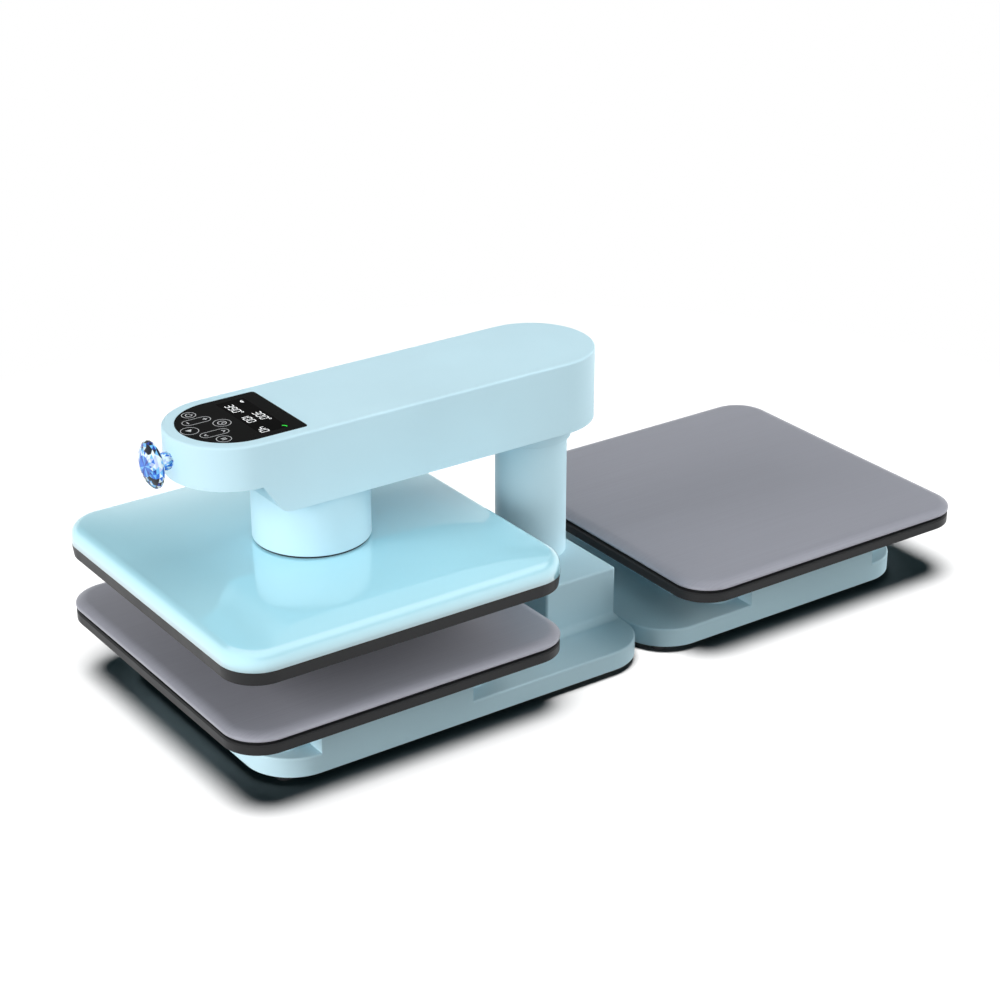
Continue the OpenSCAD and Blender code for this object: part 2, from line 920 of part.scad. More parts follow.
// Dark tray with a chamfered rim and a step that sets the pad apart
module tray(side) {
    step_side = platen_side - 2 * tray_step_inset;
    straight = tray_thick - tray_chamfer;
    color(dark_grey) station(side) difference() {
        translate([0, 0, tray_z]) union() {
            rounded_plate(platen_side, platen_side, platen_corner, straight);
            translate([0, 0, straight])
                draft_plate(
                    platen_side,
                    platen_side - 2 * tray_chamfer,
                    platen_corner,
                    platen_corner - tray_chamfer,
                    tray_chamfer
                );
            rounded_plate(step_side, step_side, platen_corner - tray_step_inset, tray_thick + tray_step);
        }
        four(tray_screw_offset, tray_screw_offset)
            translate([0, 0, tray_z - past])
                cylinder(h = tray_screw_top - tray_z + past + fit_gap, r = tray_screw_radius + fit_gap);
    }
}

module tray_a() {
    tray(-1);
}

module tray_b() {
    tray(1);
}

module tray_screws() {
    color(steel)
        for (side = [-1, 1])
            station(side)
                four(tray_screw_offset, tray_screw_offset)
                    translate([0, 0, tray_z - base_wall - tray_screw_head_height])
                        screw_up(
                            tray_screw_head,
                            tray_screw_head_height,
                            tray_screw_radius,
                            tray_screw_top - tray_z + base_wall
                        );
}

// Pad with soft upper edges
module pad(side) {
    pad_side = platen_side - 2 * pad_inset;
    color(pad_grey)
        station(side)
            translate([0, 0, pad_z])
                soft_slab(
                    pad_side,
                    pad_side,
                    platen_corner - pad_inset,
                    pad_thick,
                    pad_edge,
                    fall = pad_fall
                );
}

module pad_a() {
    pad(-1);
}

module pad_b() {
    pad(1);
}

// Post

module column() {
    color(steel) translate([0, 0, floor_top]) difference() {
        union() {
            cylinder(h = column_top - floor_top, r = column_radius);
            cylinder(h = column_flange_thick, r = column_flange);
        }
        translate([0, 0, -past]) cylinder(h = through, r = column_bore);
        around(4, column_bolt_circle, 45)
            translate([0, 0, -past])
                cylinder(h = column_flange_thick + 2 * past, r = floor_bolt_radius + fit_gap);
    }
}

// Half section of the post sleeve, with the cove that leads out to the collar
module sleeve_section() {
    inner = post_radius - post_wall;
    translate([inner, pedestal_z]) square([post_wall, ring_z - pedestal_z]);
    difference() {
        translate([inner, collar_z - collar_cove])
            square([collar_radius - inner, collar_cove + ring_z - collar_z]);
        translate([post_radius + collar_cove, collar_z - collar_cove]) circle(collar_cove);
        translate([post_radius + collar_cove, collar_z - 2 * collar_cove])
            square([collar_radius, 2 * collar_cove]);
    }
    translate([inner, collar_z]) square([collar_radius - inner, ring_z - collar_z]);
    translate([ring_radius, ring_z - past])
        square([collar_radius - ring_radius, collar_top - ring_z + past]);
}

module post_sleeve() {
    color(pale_blue) rotate_extrude() sleeve_section();
}

// Ring on the column that carries the arm, with the half-circle slot that stops its swing
module support_ring() {
    slot_half = stop_radius + move_gap;
    color(steel) translate([0, 0, ring_z]) difference() {
        ring(ring_radius - fit_gap, column_radius + fit_gap, ring_top - ring_z);
        translate([0, 0, ring_top - ring_z - stop_depth]) {
            rotate_extrude(angle = 180)
                translate([stop_circle - slot_half, 0]) square([2 * slot_half, stop_depth + past]);
            for (s = [-1, 1])
                translate([s * stop_circle, 0, 0]) cylinder(h = stop_depth + past, r = slot_half);
        }
    }
}

module thrust_washer() {
    color(bronze)
        translate([0, 0, ring_top]) ring(washer_radius, column_radius + fit_gap, washer_thick);
}

module retaining_nut() {
    color(steel)
        translate([0, 0, nut_z]) ring(hub_bore - move_gap, column_radius + fit_gap, nut_height);
}

// Mains parts

// Moves to the pedestal's back face, with Z outward and Y up
module at_back(x) {
    translate([x, pedestal_width / 2, mains_z]) rotate([90, 0, 180]) children();
}

module power_inlet() {
    rim = [inlet_width + 4, inlet_height + 4, inlet_rim];
    color(black) at_back(-inlet_offset) {
        difference() {
            union() {
                translate([-rim[0] / 2, -rim[1] / 2, 0]) cube(rim);
                translate([-inlet_width / 2, -inlet_height / 2, -inlet_depth])
                    cube([inlet_width, inlet_height, inlet_depth + inlet_rim / 2]);
            }
            translate([0, 0, inlet_rim - inlet_socket_depth])
                linear_extrude(inlet_socket_depth + past)
                    square([inlet_socket_width, inlet_socket_height], center = true);
        }
        for (i = [-1 : 1])
            translate([i * inlet_pin_pitch, i == 0 ? 2 : -2, inlet_rim - inlet_socket_depth - past])
                linear_extrude(inlet_socket_depth - inlet_pin_recess + past)
                    square(inlet_pin_size, center = true);
    }
}

module switch_frame() {
    rim = [switch_width + 3, switch_height + 3, inlet_rim];
    pivot_z = rocker_y - pedestal_width / 2;
    color(black) at_back(switch_offset) difference() {
        union() {
            translate([-rim[0] / 2, -rim[1] / 2, 0]) cube(rim);
            translate([-switch_width / 2, -switch_height / 2, -switch_depth])
                cube([switch_width, switch_height, switch_depth + inlet_rim / 2]);
        }
        translate([0, 0, pivot_z]) rotate([0, 90, 0]) {
            cylinder(h = rocker_width + 2 * move_gap, r = rocker_radius + move_gap, center = true);
            cylinder(
                h = rocker_width + 2 * rocker_pin + 2 * move_gap,
                r = rocker_pivot + run_gap,
                center = true
            );
        }
    }
}

module rocker() {
    wide = 2 * rocker_radius;
    color(black) at_back(switch_offset)
        translate([0, 0, rocker_y - pedestal_width / 2])
            rotate([-rocker_angle / 2, 0, 0])
                rotate([90, 0, 90]) {
                    linear_extrude(rocker_width, center = true) intersection() {
                        circle(rocker_radius);
                        polygon([
                            [-wide, -wide],
                            [wide, -wide],
                            [wide, rocker_tip],
                            [0, rocker_face],
                            [-wide, rocker_tip]
                        ]);
                    }
                    cylinder(h = rocker_width + 2 * rocker_pin, r = rocker_pivot, center = true);
                }
}

module power_board() {
    color(board_green)
        station(-1)
            translate([0, 0, board_z + board_thick / 2])
                cube([board_length, board_width, board_thick], center = true);
}

// Transformer, relay and capacitors on the power board
module power_parts() {
    color(black)
        station(-1)
            translate([0, 0, board_z + board_thick]) {
                translate(transformer_place) cube(transformer_size);
                translate(relay_place) cube(relay_size);
                for (place = capacitor_places)
                    translate(place) cylinder(h = capacitor_height, r = capacitor_radius);
            }
}

// Arm

// Side view of the arm: raised nose, slanted face with a round lower corner, level underside
module arm_side(drop) {
    difference() {
        polygon([
            [-arm_reach - past, arm_top + past],
            [arm_half + past, arm_top + past],
            [arm_half + past, arm_z + drop],
            [slant_x, arm_z + drop],
            [slant_top, nose_z + drop],
            [-arm_reach - past, nose_z + drop]
        ]);
        translate([slant_x, arm_z + drop]) slant_corner();
    }
}

// What the round lower corner of the slanted face leaves away from a sharp one at the origin
module slant_corner() {
    slope = atan2(nose_z - arm_z, slant_run);
    heart = slant_round * [tan(slope / 2), 1];
    difference() {
        polygon([
            [heart[0], -past],
            heart,
            heart - (slant_round + past) * [sin(slope), cos(slope)],
            [-2 * past, -2 * past]
        ]);
        translate(heart) circle(slant_round + slant_blend);
    }
}

// Prism of the arm's side view, wide enough for the whole arm
module arm_side_prism(drop) {
    rotate([90, 0, 0]) linear_extrude(2 * arm_width, center = true) arm_side(drop);
}

module arm_shell() {
    boss_length = roof_z - arm_plate_top;
    color(pale_blue) difference() {
        union() {
            difference() {
                intersection() {
                    translate([(arm_half - arm_reach) / 2, 0, arm_z])
                        soft_slab(arm_reach + arm_half, arm_width, arm_half, arm_height, arm_edge);
                    arm_side_prism(0);
                }
                translate([0, 0, arm_z - past])
                    linear_extrude(roof_z - arm_z + past) arm_outline(arm_wall);
            }
            pairs(shell_boss_points)
                translate([0, 0, arm_plate_top]) cylinder(h = boss_length + past / 2, r = shell_boss_radius);
            pairs(control_pips)
                translate([0, 0, roof_z - control_board_drop])
                    cylinder(h = control_board_drop + past / 2, r = control_pip_radius);
        }
        pairs(shell_boss_points)
            translate([0, 0, arm_plate_top - past])
                cylinder(h = shell_screw_depth + past + fit_gap, r = shell_screw_radius + fit_gap);
        translate([0, 0, glass_z])
            linear_extrude(2 * glass_thick)
                panel_outline(panel_radius + glass_gap, panel_run + glass_gap, panel_corner);
        translate([display_x, 0, roof_z])
            cube([display_length + display_gap, display_width + display_gap, 4 * arm_wall], center = true);
        translate([-arm_reach, 0, knob_z])
            rotate([0, 90, 0]) cylinder(h = 4 * arm_wall, r = knob_stud_radius + fit_gap, center = true);
        translate([arm_wall - arm_reach, 0, knob_z])
            rotate([0, 90, 0]) cylinder(h = 2 * arm_wall, r = knob_stud_head + fit_gap);
    }
}

module arm_floor() {
    color(pale_blue) difference() {
        intersection() {
            difference() {
                arm_side_prism(0);
                arm_side_prism(floor_cover_thick);
            }
            linear_extrude(arm_top) arm_outline(arm_wall + fit_gap);
        }
        station(-1) cylinder(h = through, r = neck_radius + move_gap);
        cylinder(h = through, r = hub_radius + move_gap);
        at_cover_screws() {
            translate([0, 0, -past])
                cylinder(h = cover_screw_head_height + past, r = cover_screw_head + fit_gap);
            translate([0, 0, -past])
                cylinder(h = floor_cover_thick + 2 * past, r = cover_screw_radius + fit_gap);
        }
    }
}

// Underside of the arm's floor at a point along the arm
function floor_under(x) = x < slant_top ? nose_z : arm_z;

// Positions of the screws in the arm's floor, at the floor's underside
module at_cover_screws() {
    for (p = post_points)
        for (sy = [-1, 1])
            translate([p[0], sy * p[1], floor_under(p[0])]) children();
}

module cover_posts() {
    color(steel)
        for (p = post_points)
            for (sy = [-1, 1])
                translate([p[0], sy * p[1], floor_under(p[0]) + floor_cover_thick]) difference() {
                    cylinder(h = arm_plate_z - floor_under(p[0]) - floor_cover_thick, r = cover_post_radius);
                    translate([0, 0, -past])
                        cylinder(h = cover_screw_depth + past + fit_gap, r = cover_screw_radius + fit_gap);
                }
}

module arm_screws() {
    color(steel) {
        at_cover_screws()
            screw_up(
                cover_screw_head,
                cover_screw_head_height,
                cover_screw_radius,
                cover_screw_depth + floor_cover_thick - cover_screw_head_height
            );
        pairs(shell_boss_points)
            translate([0, 0, arm_plate_z - shell_screw_head_height])
                screw_up(
                    shell_screw_head,
                    shell_screw_head_height,
                    shell_screw_radius,
                    arm_plate_thick + shell_screw_depth
                );
    }
}

module arm_plate() {
    length = arm_plate_rear - arm_plate_front;
    color(steel) translate([0, 0, arm_plate_z]) difference() {
        linear_extrude(arm_plate_thick) intersection() {
            translate([arm_plate_front + length / 2, 0])
                rounded_rect(length, 2 * arm_plate_half, arm_plate_corner);
            arm_outline(arm_wall + arm_plate_gap);
        }
        translate([0, 0, -past]) {
            cylinder(h = arm_plate_thick + 2 * past, r = column_bore);
            around(hub_bolt_count, hub_bolt_circle)
                cylinder(h = arm_plate_thick + 2 * past, r = hub_bolt_radius + fit_gap);
            pairs(shell_boss_points)
                cylinder(h = arm_plate_thick + 2 * past, r = shell_screw_radius + fit_gap);
            station(-1) {
                cylinder(h = arm_plate_thick + 2 * past, r = screw_radius + bearing_wall + fit_gap);
                at_rods() cylinder(h = arm_plate_thick + 2 * past, r = rod_radius + move_gap);
            }
        }
    }
}

module swivel_hub() {
    color(steel) translate([0, 0, hub_z]) difference() {
        cylinder(h = arm_plate_z - hub_z, r = hub_radius);
        translate([0, 0, -past]) cylinder(h = through, r = hub_bore + fit_gap / 2);
        around(hub_bolt_count, hub_bolt_circle)
            translate([0, 0, arm_plate_z - hub_z - hub_bolt_depth - fit_gap])
                cylinder(h = hub_bolt_depth + past, r = hub_bolt_radius + fit_gap);
        translate([-stop_circle, 0, -past])
            cylinder(h = stop_seat + past + fit_gap, r = stop_radius + fit_gap);
    }
}

module hub_bushes() {
    color(bronze)
        for (z = bush_z)
            translate([0, 0, z]) ring(hub_bore, column_radius + run_gap, bush_length);
}

module hub_bolts() {
    color(steel)
        around(hub_bolt_count, hub_bolt_circle)
            translate([0, 0, arm_plate_top])
                screw_down(
                    hub_bolt_head,
                    hub_bolt_head_height,
                    hub_bolt_radius,
                    arm_plate_thick + hub_bolt_depth
                );
}

module stop_pin() {
    pin_z = ring_top - stop_depth + move_gap;
    color(steel)
        translate([-stop_circle, 0, pin_z]) cylinder(h = hub_z + stop_seat - pin_z, r = stop_radius);
}

module control_board() {
    color(board_green) difference() {
        translate([0, 0, control_board_z])
            linear_extrude(control_board_thick)
                panel_outline(control_board_radius, panel_run - 1, panel_corner);
        pairs(shell_boss_points) cylinder(h = through, r = shell_boss_radius + move_gap);
    }
}

module display_module() {
    base = control_board_z + control_board_thick;
    color(black)
        translate([display_x - display_length / 2, -display_width / 2, base])
            cube([display_length, display_width, glass_z - base]);
}

module panel_glass() {
    color(black)
        translate([0, 0, glass_z])
            linear_extrude(glass_thick) panel_outline(panel_radius, panel_run, panel_corner);
}

// Cut crystal with a ball neck, its axis along the arm
module crystal_knob() {
    girdle = 0.2 * knob_length;
    back = 0.36 * knob_length;
    crown = knob_length - back - girdle - 0.16 * knob_length;
    color(crystal_blue) translate([-arm_reach, 0, knob_z]) rotate([0, -90, 0]) difference() {
        union() {
            cylinder(h = back / 2, r1 = 0.72 * knob_neck, r2 = knob_neck, $fn = knob_sides);
            translate([0, 0, back / 2])
                cylinder(h = back / 2, r1 = knob_neck, r2 = 0.8 * knob_neck, $fn = knob_sides);
            translate([0, 0, back])
                cylinder(h = crown, r1 = 0.8 * knob_neck, r2 = knob_radius, $fn = knob_sides);
            translate([0, 0, back + crown])
                cylinder(h = girdle, r = knob_radius, $fn = knob_sides);
            translate([0, 0, back + crown + girdle])
                cylinder(
                    h = knob_length - back - crown - girdle,
                    r1 = knob_radius,
                    r2 = 0.62 * knob_radius,
                    $fn = knob_sides
                );
        }
        translate([0, 0, -past])
            cylinder(h = knob_stud_depth + past + fit_gap, r = knob_stud_radius + fit_gap);
    }
}

// Screw that holds the knob from inside the nose
module knob_stud() {
    color(steel)
        translate([arm_wall - arm_reach + knob_stud_head_height, 0, knob_z])
            rotate([0, -90, 0])
                screw_up(
                    knob_stud_head,
                    knob_stud_head_height,
                    knob_stud_radius,
                    arm_wall + knob_stud_depth
                );
}

// Drive

// Positions of the guide rods, on both sides of the screw
module at_rods() {
    for (sy = [-1, 1])
        translate([0, sy * rod_circle, 0]) children();
}

// Position of the motor, beside the screw on the post's side
module at_motor() {
    station(-1) translate([motor_offset, 0, 0]) children();
}

module drive_plate() {
    color(steel) difference() {
        station(-1) translate([0, 0, drive_z]) difference() {
            cylinder(h = drive_plate_thick, r = drive_radius);
            translate([0, 0, -past]) {
                cylinder(h = drive_plate_thick + 2 * past, r = screw_radius + bearing_wall + fit_gap);
                at_rods()
                    cylinder(
                        h = drive_plate_thick + 2 * past,
                        r = rod_radius + run_gap + guide_wall + fit_gap
                    );
            }
        }
        at_motor()
            translate([0, 0, drive_z - past]) cylinder(h = drive_plate_thick + 2 * past, r = motor_boss_hole);
    }
}

module drive_spacers() {
    color(steel)
        station(-1)
            around(4, spacer_circle, 45)
                translate([0, 0, drive_top]) cylinder(h = drive_space, r = spacer_radius);
}

module gear_motor() {
    color(black) at_motor() translate([0, 0, motor_z]) difference() {
        union() {
            cylinder(h = motor_length, r = motor_radius);
            cylinder(h = motor_length + drive_plate_thick / 2, r = motor_boss_hole - fit_gap);
        }
        translate([0, 0, motor_length - motor_shaft_seat])
            cylinder(h = through, r = motor_shaft_radius + run_gap);
    }
}

module motor_pinion() {
    color(steel) at_motor() {
        translate([0, 0, drive_z - motor_shaft_seat + move_gap])
            cylinder(h = gear_z + gear_width + 1 - drive_z + motor_shaft_seat, r = motor_shaft_radius);
        translate([0, 0, gear_z - past])
            linear_extrude(gear_width + 2 * past) polygon(gear_outline(pinion_teeth));
    }
}

module screw_gear() {
    color(bronze) station(-1) difference() {
        union() {
            translate([0, 0, gear_z])
                linear_extrude(gear_width)
                    rotate([0, 0, 180 / gear_teeth]) polygon(gear_outline(gear_teeth));
            translate([0, 0, gear_hub_z]) cylinder(h = gear_hub_height, r = screw_collar_radius);
        }
        cylinder(h = through, r = screw_radius + fit_gap / 2);
    }
}

module lead_screw() {
    color(steel) station(-1) {
        translate([0, 0, screw_z]) cylinder(h = screw_top - screw_z, r = screw_radius);
        translate([0, 0, screw_collar_z]) cylinder(h = screw_collar_height, r = screw_collar_radius);
    }
}

module screw_bearings() {
    color(steel)
        station(-1)
            for (z = bearing_z)
                translate([0, 0, z])
                    ring(screw_radius + bearing_wall, screw_radius + run_gap, bearing_height);
}

module guide_bushes() {
    bore = rod_radius + run_gap;
    color(bronze)
        station(-1)
            at_rods() {
                translate([0, 0, guide_z]) ring(bore + guide_wall, bore, guide_length);
                translate([0, 0, drive_z - guide_flange_height])
                    ring(bore + guide_wall + guide_flange, bore, guide_flange_height);
            }
}

// Head

// Half section of the neck: tube, round lower edge and recessed foot
module neck_section() {
    translate([neck_inner, neck_z + neck_edge]) square([neck_wall, neck_top - neck_z - neck_edge]);
    translate([neck_inner, neck_z]) square([neck_wall - neck_edge, neck_edge + past]);
    translate([neck_radius - neck_edge, neck_z + neck_edge]) circle(neck_edge);
    translate([neck_foot_inner, cover_top]) square([neck_foot_outer - neck_foot_inner, neck_gap]);
}

module neck_sleeve() {
    color(pale_blue) station(-1) rotate_extrude() neck_section();
}

module carriage_plate() {
    color(steel) station(-1) translate([0, 0, neck_z]) difference() {
        cylinder(h = carriage_thick, r = carriage_radius);
        translate([0, 0, -past]) {
            at_rods() cylinder(h = carriage_thick + 2 * past, r = rod_radius + fit_gap);
            around(4, carriage_bolt_circle, 45)
                cylinder(h = carriage_thick + 2 * past, r = carriage_bolt_radius + fit_gap);
        }
    }
}

module carriage_bolts() {
    color(steel)
        station(-1)
            around(4, carriage_bolt_circle, 45)
                translate([0, 0, carriage_top])
                    screw_down(
                        carriage_bolt_head,
                        carriage_bolt_head_height,
                        carriage_bolt_radius,
                        carriage_top - mount_z
                    );
}

module guide_rods() {
    color(steel)
        station(-1)
            at_rods() translate([0, 0, neck_z]) cylinder(h = rod_top - neck_z, r = rod_radius);
}

module nut_tube() {
    color(steel)
        station(-1)
            translate([0, 0, carriage_top]) ring(nut_tube_outer, nut_tube_bore, lift_nut_z - carriage_top);
}

module lift_nut() {
    bore = screw_radius + run_gap;
    color(bronze) station(-1) translate([0, 0, lift_nut_z]) {
        ring(nut_tube_outer, bore, lift_nut_flange_height);
        ring(lift_nut_outer, bore, lift_nut_height);
    }
}

module head_cover() {
    inner = platen_side - 2 * cover_wall;
    color(gloss_blue) station(-1) difference() {
        translate([0, 0, cover_z])
            soft_slab(
                platen_side,
                platen_side,
                platen_corner,
                cover_height,
                cover_edge,
                fall = cover_fall
            );
        translate([0, 0, cover_z - past])
            soft_slab(
                inner,
                inner,
                platen_corner - cover_wall,
                cover_height - cover_wall + past,
                cover_edge - cover_wall,
                fall = cover_fall - cover_wall
            );
        around(4, carriage_bolt_circle, 45) cylinder(h = through, r = carriage_bolt_radius + fit_gap);
    }
}

module head_rim() {
    low = platen_side - 2 * rim_draft;
    opening = platen_side - 2 * rim_wall;
    flange_opening = platen_side - 2 * rim_flange_wall;
    color(dark_grey) station(-1) difference() {
        translate([0, 0, rim_z])
            draft_plate(low, platen_side, platen_corner - rim_draft, platen_corner, rim_height);
        translate([0, 0, rim_z - past])
            rounded_plate(
                opening,
                opening,
                platen_corner - rim_wall,
                heat_top + rim_flange_gap - rim_z + past
            );
        rounded_plate(flange_opening, flange_opening, platen_corner - rim_flange_wall, through);
    }
}

module mount_plate() {
    color(steel) station(-1) translate([0, 0, mount_z]) difference() {
        rounded_plate(mount_side, mount_side, mount_corner, mount_thick);
        translate([0, 0, -past])
            around(4, carriage_bolt_circle, 45)
                cylinder(h = mount_thick + 2 * past, r = carriage_bolt_radius + fit_gap);
    }
}

module plate_standoffs() {
    color(steel)
        station(-1)
            four(standoff_x, standoff_y) translate([0, 0, heat_top]) {
                cylinder(h = board_gap, r = standoff_collar);
                cylinder(h = mount_z - heat_top, r = standoff_radius);
            }
}

module insulation_board() {
    color(fibre_white) station(-1) translate([0, 0, insulation_z]) difference() {
        rounded_plate(insulation_side, insulation_side, mount_corner, insulation_thick);
        four(standoff_x, standoff_y)
            translate([0, 0, -past])
                cylinder(h = insulation_thick + 2 * past, r = standoff_radius + fit_gap);
    }
}

// Tube element that runs to and fro over the heat plate
module heating_element() {
    first = -(heater_runs - 1) / 2 * heater_pitch;
    color(steel) station(-1) translate([0, 0, heater_z]) {
        for (i = [0 : heater_runs - 1])
            translate([0, first + i * heater_pitch, 0])
                rotate([0, 90, 0]) cylinder(h = heater_run, r = heater_radius, center = true);
        for (i = [0 : heater_runs - 2])
            translate([(i % 2 == 0 ? 1 : -1) * heater_run / 2, first + (i + 0.5) * heater_pitch, 0])
                rotate([0, 0, i % 2 == 0 ? -90 : 90])
                    rotate_extrude(angle = 180)
                        translate([heater_pitch / 2, 0]) circle(heater_radius);
    }
}

module thermal_cutout() {
    color(black)
        station(-1)
            translate([0, 0, heat_top]) cylinder(h = board_gap, r = cutout_radius);
}

module heat_plate() {
    color(steel)
        station(-1)
            translate([0, 0, heat_z])
                rounded_plate(plate_side, plate_side, plate_corner, heat_plate_thick);
}

base_shell_a();
base_shell_b();
floor_plate_a();
floor_plate_b();
link_bars();
floor_bolts();
feet();
foot_screws();
tray_a();
tray_b();
tray_screws();
pad_a();
pad_b();
column();
post_sleeve();
support_ring();
thrust_washer();
retaining_nut();
power_inlet();
switch_frame();
power_board();
power_parts();
rocker();
arm_shell();
arm_floor();
arm_plate();
swivel_hub();
hub_bushes();
hub_bolts();
stop_pin();
drive_plate();
drive_spacers();
gear_motor();
guide_bushes();
screw_bearings();
cover_posts();
arm_screws();
control_board();
display_module();
panel_glass();
crystal_knob();
knob_stud();
lead_screw();
screw_gear();
motor_pinion();
neck_sleeve();
carriage_plate();
carriage_bolts();
guide_rods();
nut_tube();
lift_nut();
head_cover();
head_rim();
mount_plate();
plate_standoffs();
insulation_board();
heating_element();
thermal_cutout();
heat_plate();
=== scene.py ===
"""Looks of a dual station heat press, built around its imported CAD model. All lengths are in metres."""

import json
import math

import bmesh
import bpy
from mathutils import Matrix, Vector


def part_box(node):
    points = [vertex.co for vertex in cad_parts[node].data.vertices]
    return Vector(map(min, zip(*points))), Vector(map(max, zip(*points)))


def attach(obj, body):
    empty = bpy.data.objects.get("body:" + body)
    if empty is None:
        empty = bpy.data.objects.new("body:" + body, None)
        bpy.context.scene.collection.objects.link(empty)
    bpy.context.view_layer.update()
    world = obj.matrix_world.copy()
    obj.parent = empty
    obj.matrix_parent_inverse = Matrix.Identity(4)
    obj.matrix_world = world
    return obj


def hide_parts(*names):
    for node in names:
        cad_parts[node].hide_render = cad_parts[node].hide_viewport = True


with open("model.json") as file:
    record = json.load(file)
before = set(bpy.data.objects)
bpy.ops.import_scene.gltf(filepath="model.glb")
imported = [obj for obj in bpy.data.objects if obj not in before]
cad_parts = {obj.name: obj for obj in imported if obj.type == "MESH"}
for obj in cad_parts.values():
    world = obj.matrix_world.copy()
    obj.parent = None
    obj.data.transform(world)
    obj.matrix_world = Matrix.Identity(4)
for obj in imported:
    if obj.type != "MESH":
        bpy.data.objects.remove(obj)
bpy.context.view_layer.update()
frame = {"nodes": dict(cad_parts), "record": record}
nodes = frame["nodes"]

MM = 0.001


# Node materials

# Sockets of a Mix node that mixes colours
MIX_FIRST = 6
MIX_SECOND = 7
MIX_RESULT = 2


def map_range(tree, source, start, end, low, high):
    """Turns a value that runs from start to end into one that runs from low to high."""
    node = tree.nodes.new("ShaderNodeMapRange")
    for socket, value in (("From Min", start), ("From Max", end), ("To Min", low), ("To Max", high)):
        node.inputs[socket].default_value = value
    tree.links.new(source, node.inputs["Value"])
    return node.outputs["Result"]


class Shader:
    """A node material with a Principled shader, and short calls that add its procedural inputs."""

    def __init__(self, name, **values):
        self.material = bpy.data.materials.new(name)
        self.material.use_nodes = True
        self.tree = self.material.node_tree
        self.shader = self.tree.nodes["Principled BSDF"]
        for socket, value in values.items():
            self.shader.inputs[socket.replace("_", " ")].default_value = value
        self.place = self.add("ShaderNodeTexCoord").outputs["Object"]

    def add(self, kind, **values):
        node = self.tree.nodes.new(kind)
        for key, value in values.items():
            setattr(node, key, value)
        return node

    def link(self, source, target):
        self.tree.links.new(source, target)

    def stretched(self, scale):
        mapping = self.add("ShaderNodeMapping")
        mapping.inputs["Scale"].default_value = scale
        self.link(self.place, mapping.inputs["Vector"])
        return mapping.outputs["Vector"]

    def noise(self, scale, detail=2.0, stretch=None):
        node = self.add("ShaderNodeTexNoise")
        node.inputs["Scale"].default_value = scale
        node.inputs["Detail"].default_value = detail
        self.link(self.stretched(stretch) if stretch else self.place, node.inputs["Vector"])
        return node.outputs["Fac"]

    def span(self, source, low=0.0, high=1.0, start=0.3, end=0.7):
        """Spreads the middle part of a noise over a range of values."""
        return map_range(self.tree, source, start, end, low, high)

    def mix(self, source, first, second):
        """Mixes two colours, each given as numbers or as a socket."""
        node = self.add("ShaderNodeMix", data_type="RGBA")
        self.link(source, node.inputs["Factor"])
        for socket, value in ((MIX_FIRST, first), (MIX_SECOND, second)):
            if isinstance(value, tuple):
                node.inputs[socket].default_value = (*value, 1.0)
            else:
                self.link(value, node.inputs[socket])
        return node.outputs[MIX_RESULT]

    def colour(self, source):
        self.link(source, self.shader.inputs["Base Color"])

    def rough(self, source):
        self.link(source, self.shader.inputs["Roughness"])

    def bump(self, source, depth):
        node = self.add("ShaderNodeBump")
        node.inputs["Distance"].default_value = depth
        node.inputs["Strength"].default_value = 1.0
        self.link(source, node.inputs["Height"])
        self.link(node.outputs["Normal"], self.shader.inputs["Normal"])


def shade(colour, factor):
    return tuple(min(1.0, c * factor) for c in colour)


def moulded(name, colour, rough, grain=1400.0, depth=0.04 * MM, vary=0.03, **values):
    """Moulded plastic or rubber with a fine grain and a slight unevenness of colour and gloss."""
    s = Shader(name, **values)
    patches = s.span(s.noise(scale=7.0))
    s.colour(s.mix(patches, shade(colour, 1 - vary), shade(colour, 1 + vary)))
    uneven = 0.04
    s.rough(s.span(s.noise(scale=40.0, detail=3.0), rough - uneven, rough + uneven))
    s.bump(s.noise(scale=grain, detail=1.0), depth)
    return s.material


def machined(name, colour, rough, stretch):
    """Metal with fine tool marks along one direction."""
    s = Shader(name, Metallic=1.0)
    marks = s.noise(scale=60.0, detail=4.0, stretch=stretch)
    s.colour(s.mix(s.span(marks), shade(colour, 0.86), shade(colour, 1.08)))
    s.rough(s.span(marks, rough - 0.08, rough + 0.1))
    s.bump(marks, depth=0.02 * MM)
    return s.material


def polished(name, colour):
    """High-gloss moulded cover under a clear coat."""
    s = Shader(name, Coat_Weight=1.0, Coat_Roughness=0.005, Coat_IOR=2.4, Specular_IOR_Level=0.1)
    patches = s.span(s.noise(scale=5.0))
    s.colour(s.mix(patches, shade(colour, 0.985), shade(colour, 1.015)))
    s.rough(s.span(s.noise(scale=30.0), low=0.16, high=0.2))
    s.bump(s.noise(scale=26.0, detail=1.0), depth=0.01 * MM)
    return s.material


def brushed_skin(name, colour):
    """Silver-grey coated cloth with fine lines along the press's length."""
    s = Shader(name, Metallic=0.25)
    lines = s.noise(scale=1.0, detail=6.0, stretch=(7.0, 900.0, 60.0))
    threads = s.noise(scale=1.0, detail=3.0, stretch=(30.0, 2600.0, 200.0))
    clouds = s.noise(scale=4.0, detail=3.0)
    streaked = s.mix(s.span(lines), shade(colour, 0.94), shade(colour, 1.06))
    s.colour(s.mix(s.span(clouds, high=0.25), streaked, shade(colour, 0.93)))
    s.rough(s.span(lines, low=0.34, high=0.44))
    s.bump(threads, depth=0.05 * MM)
    return s.material


def cut_glass(name, tint):
    """Polished glass of one tint, clouded a little inside."""
    s = Shader(name, IOR=1.5, Transmission_Weight=0.12, Roughness=0.03, Specular_IOR_Level=0.25)
    s.colour(s.mix(s.span(s.noise(scale=160.0)), shade(tint, 0.8), shade(tint, 1.15)))
    return s.material


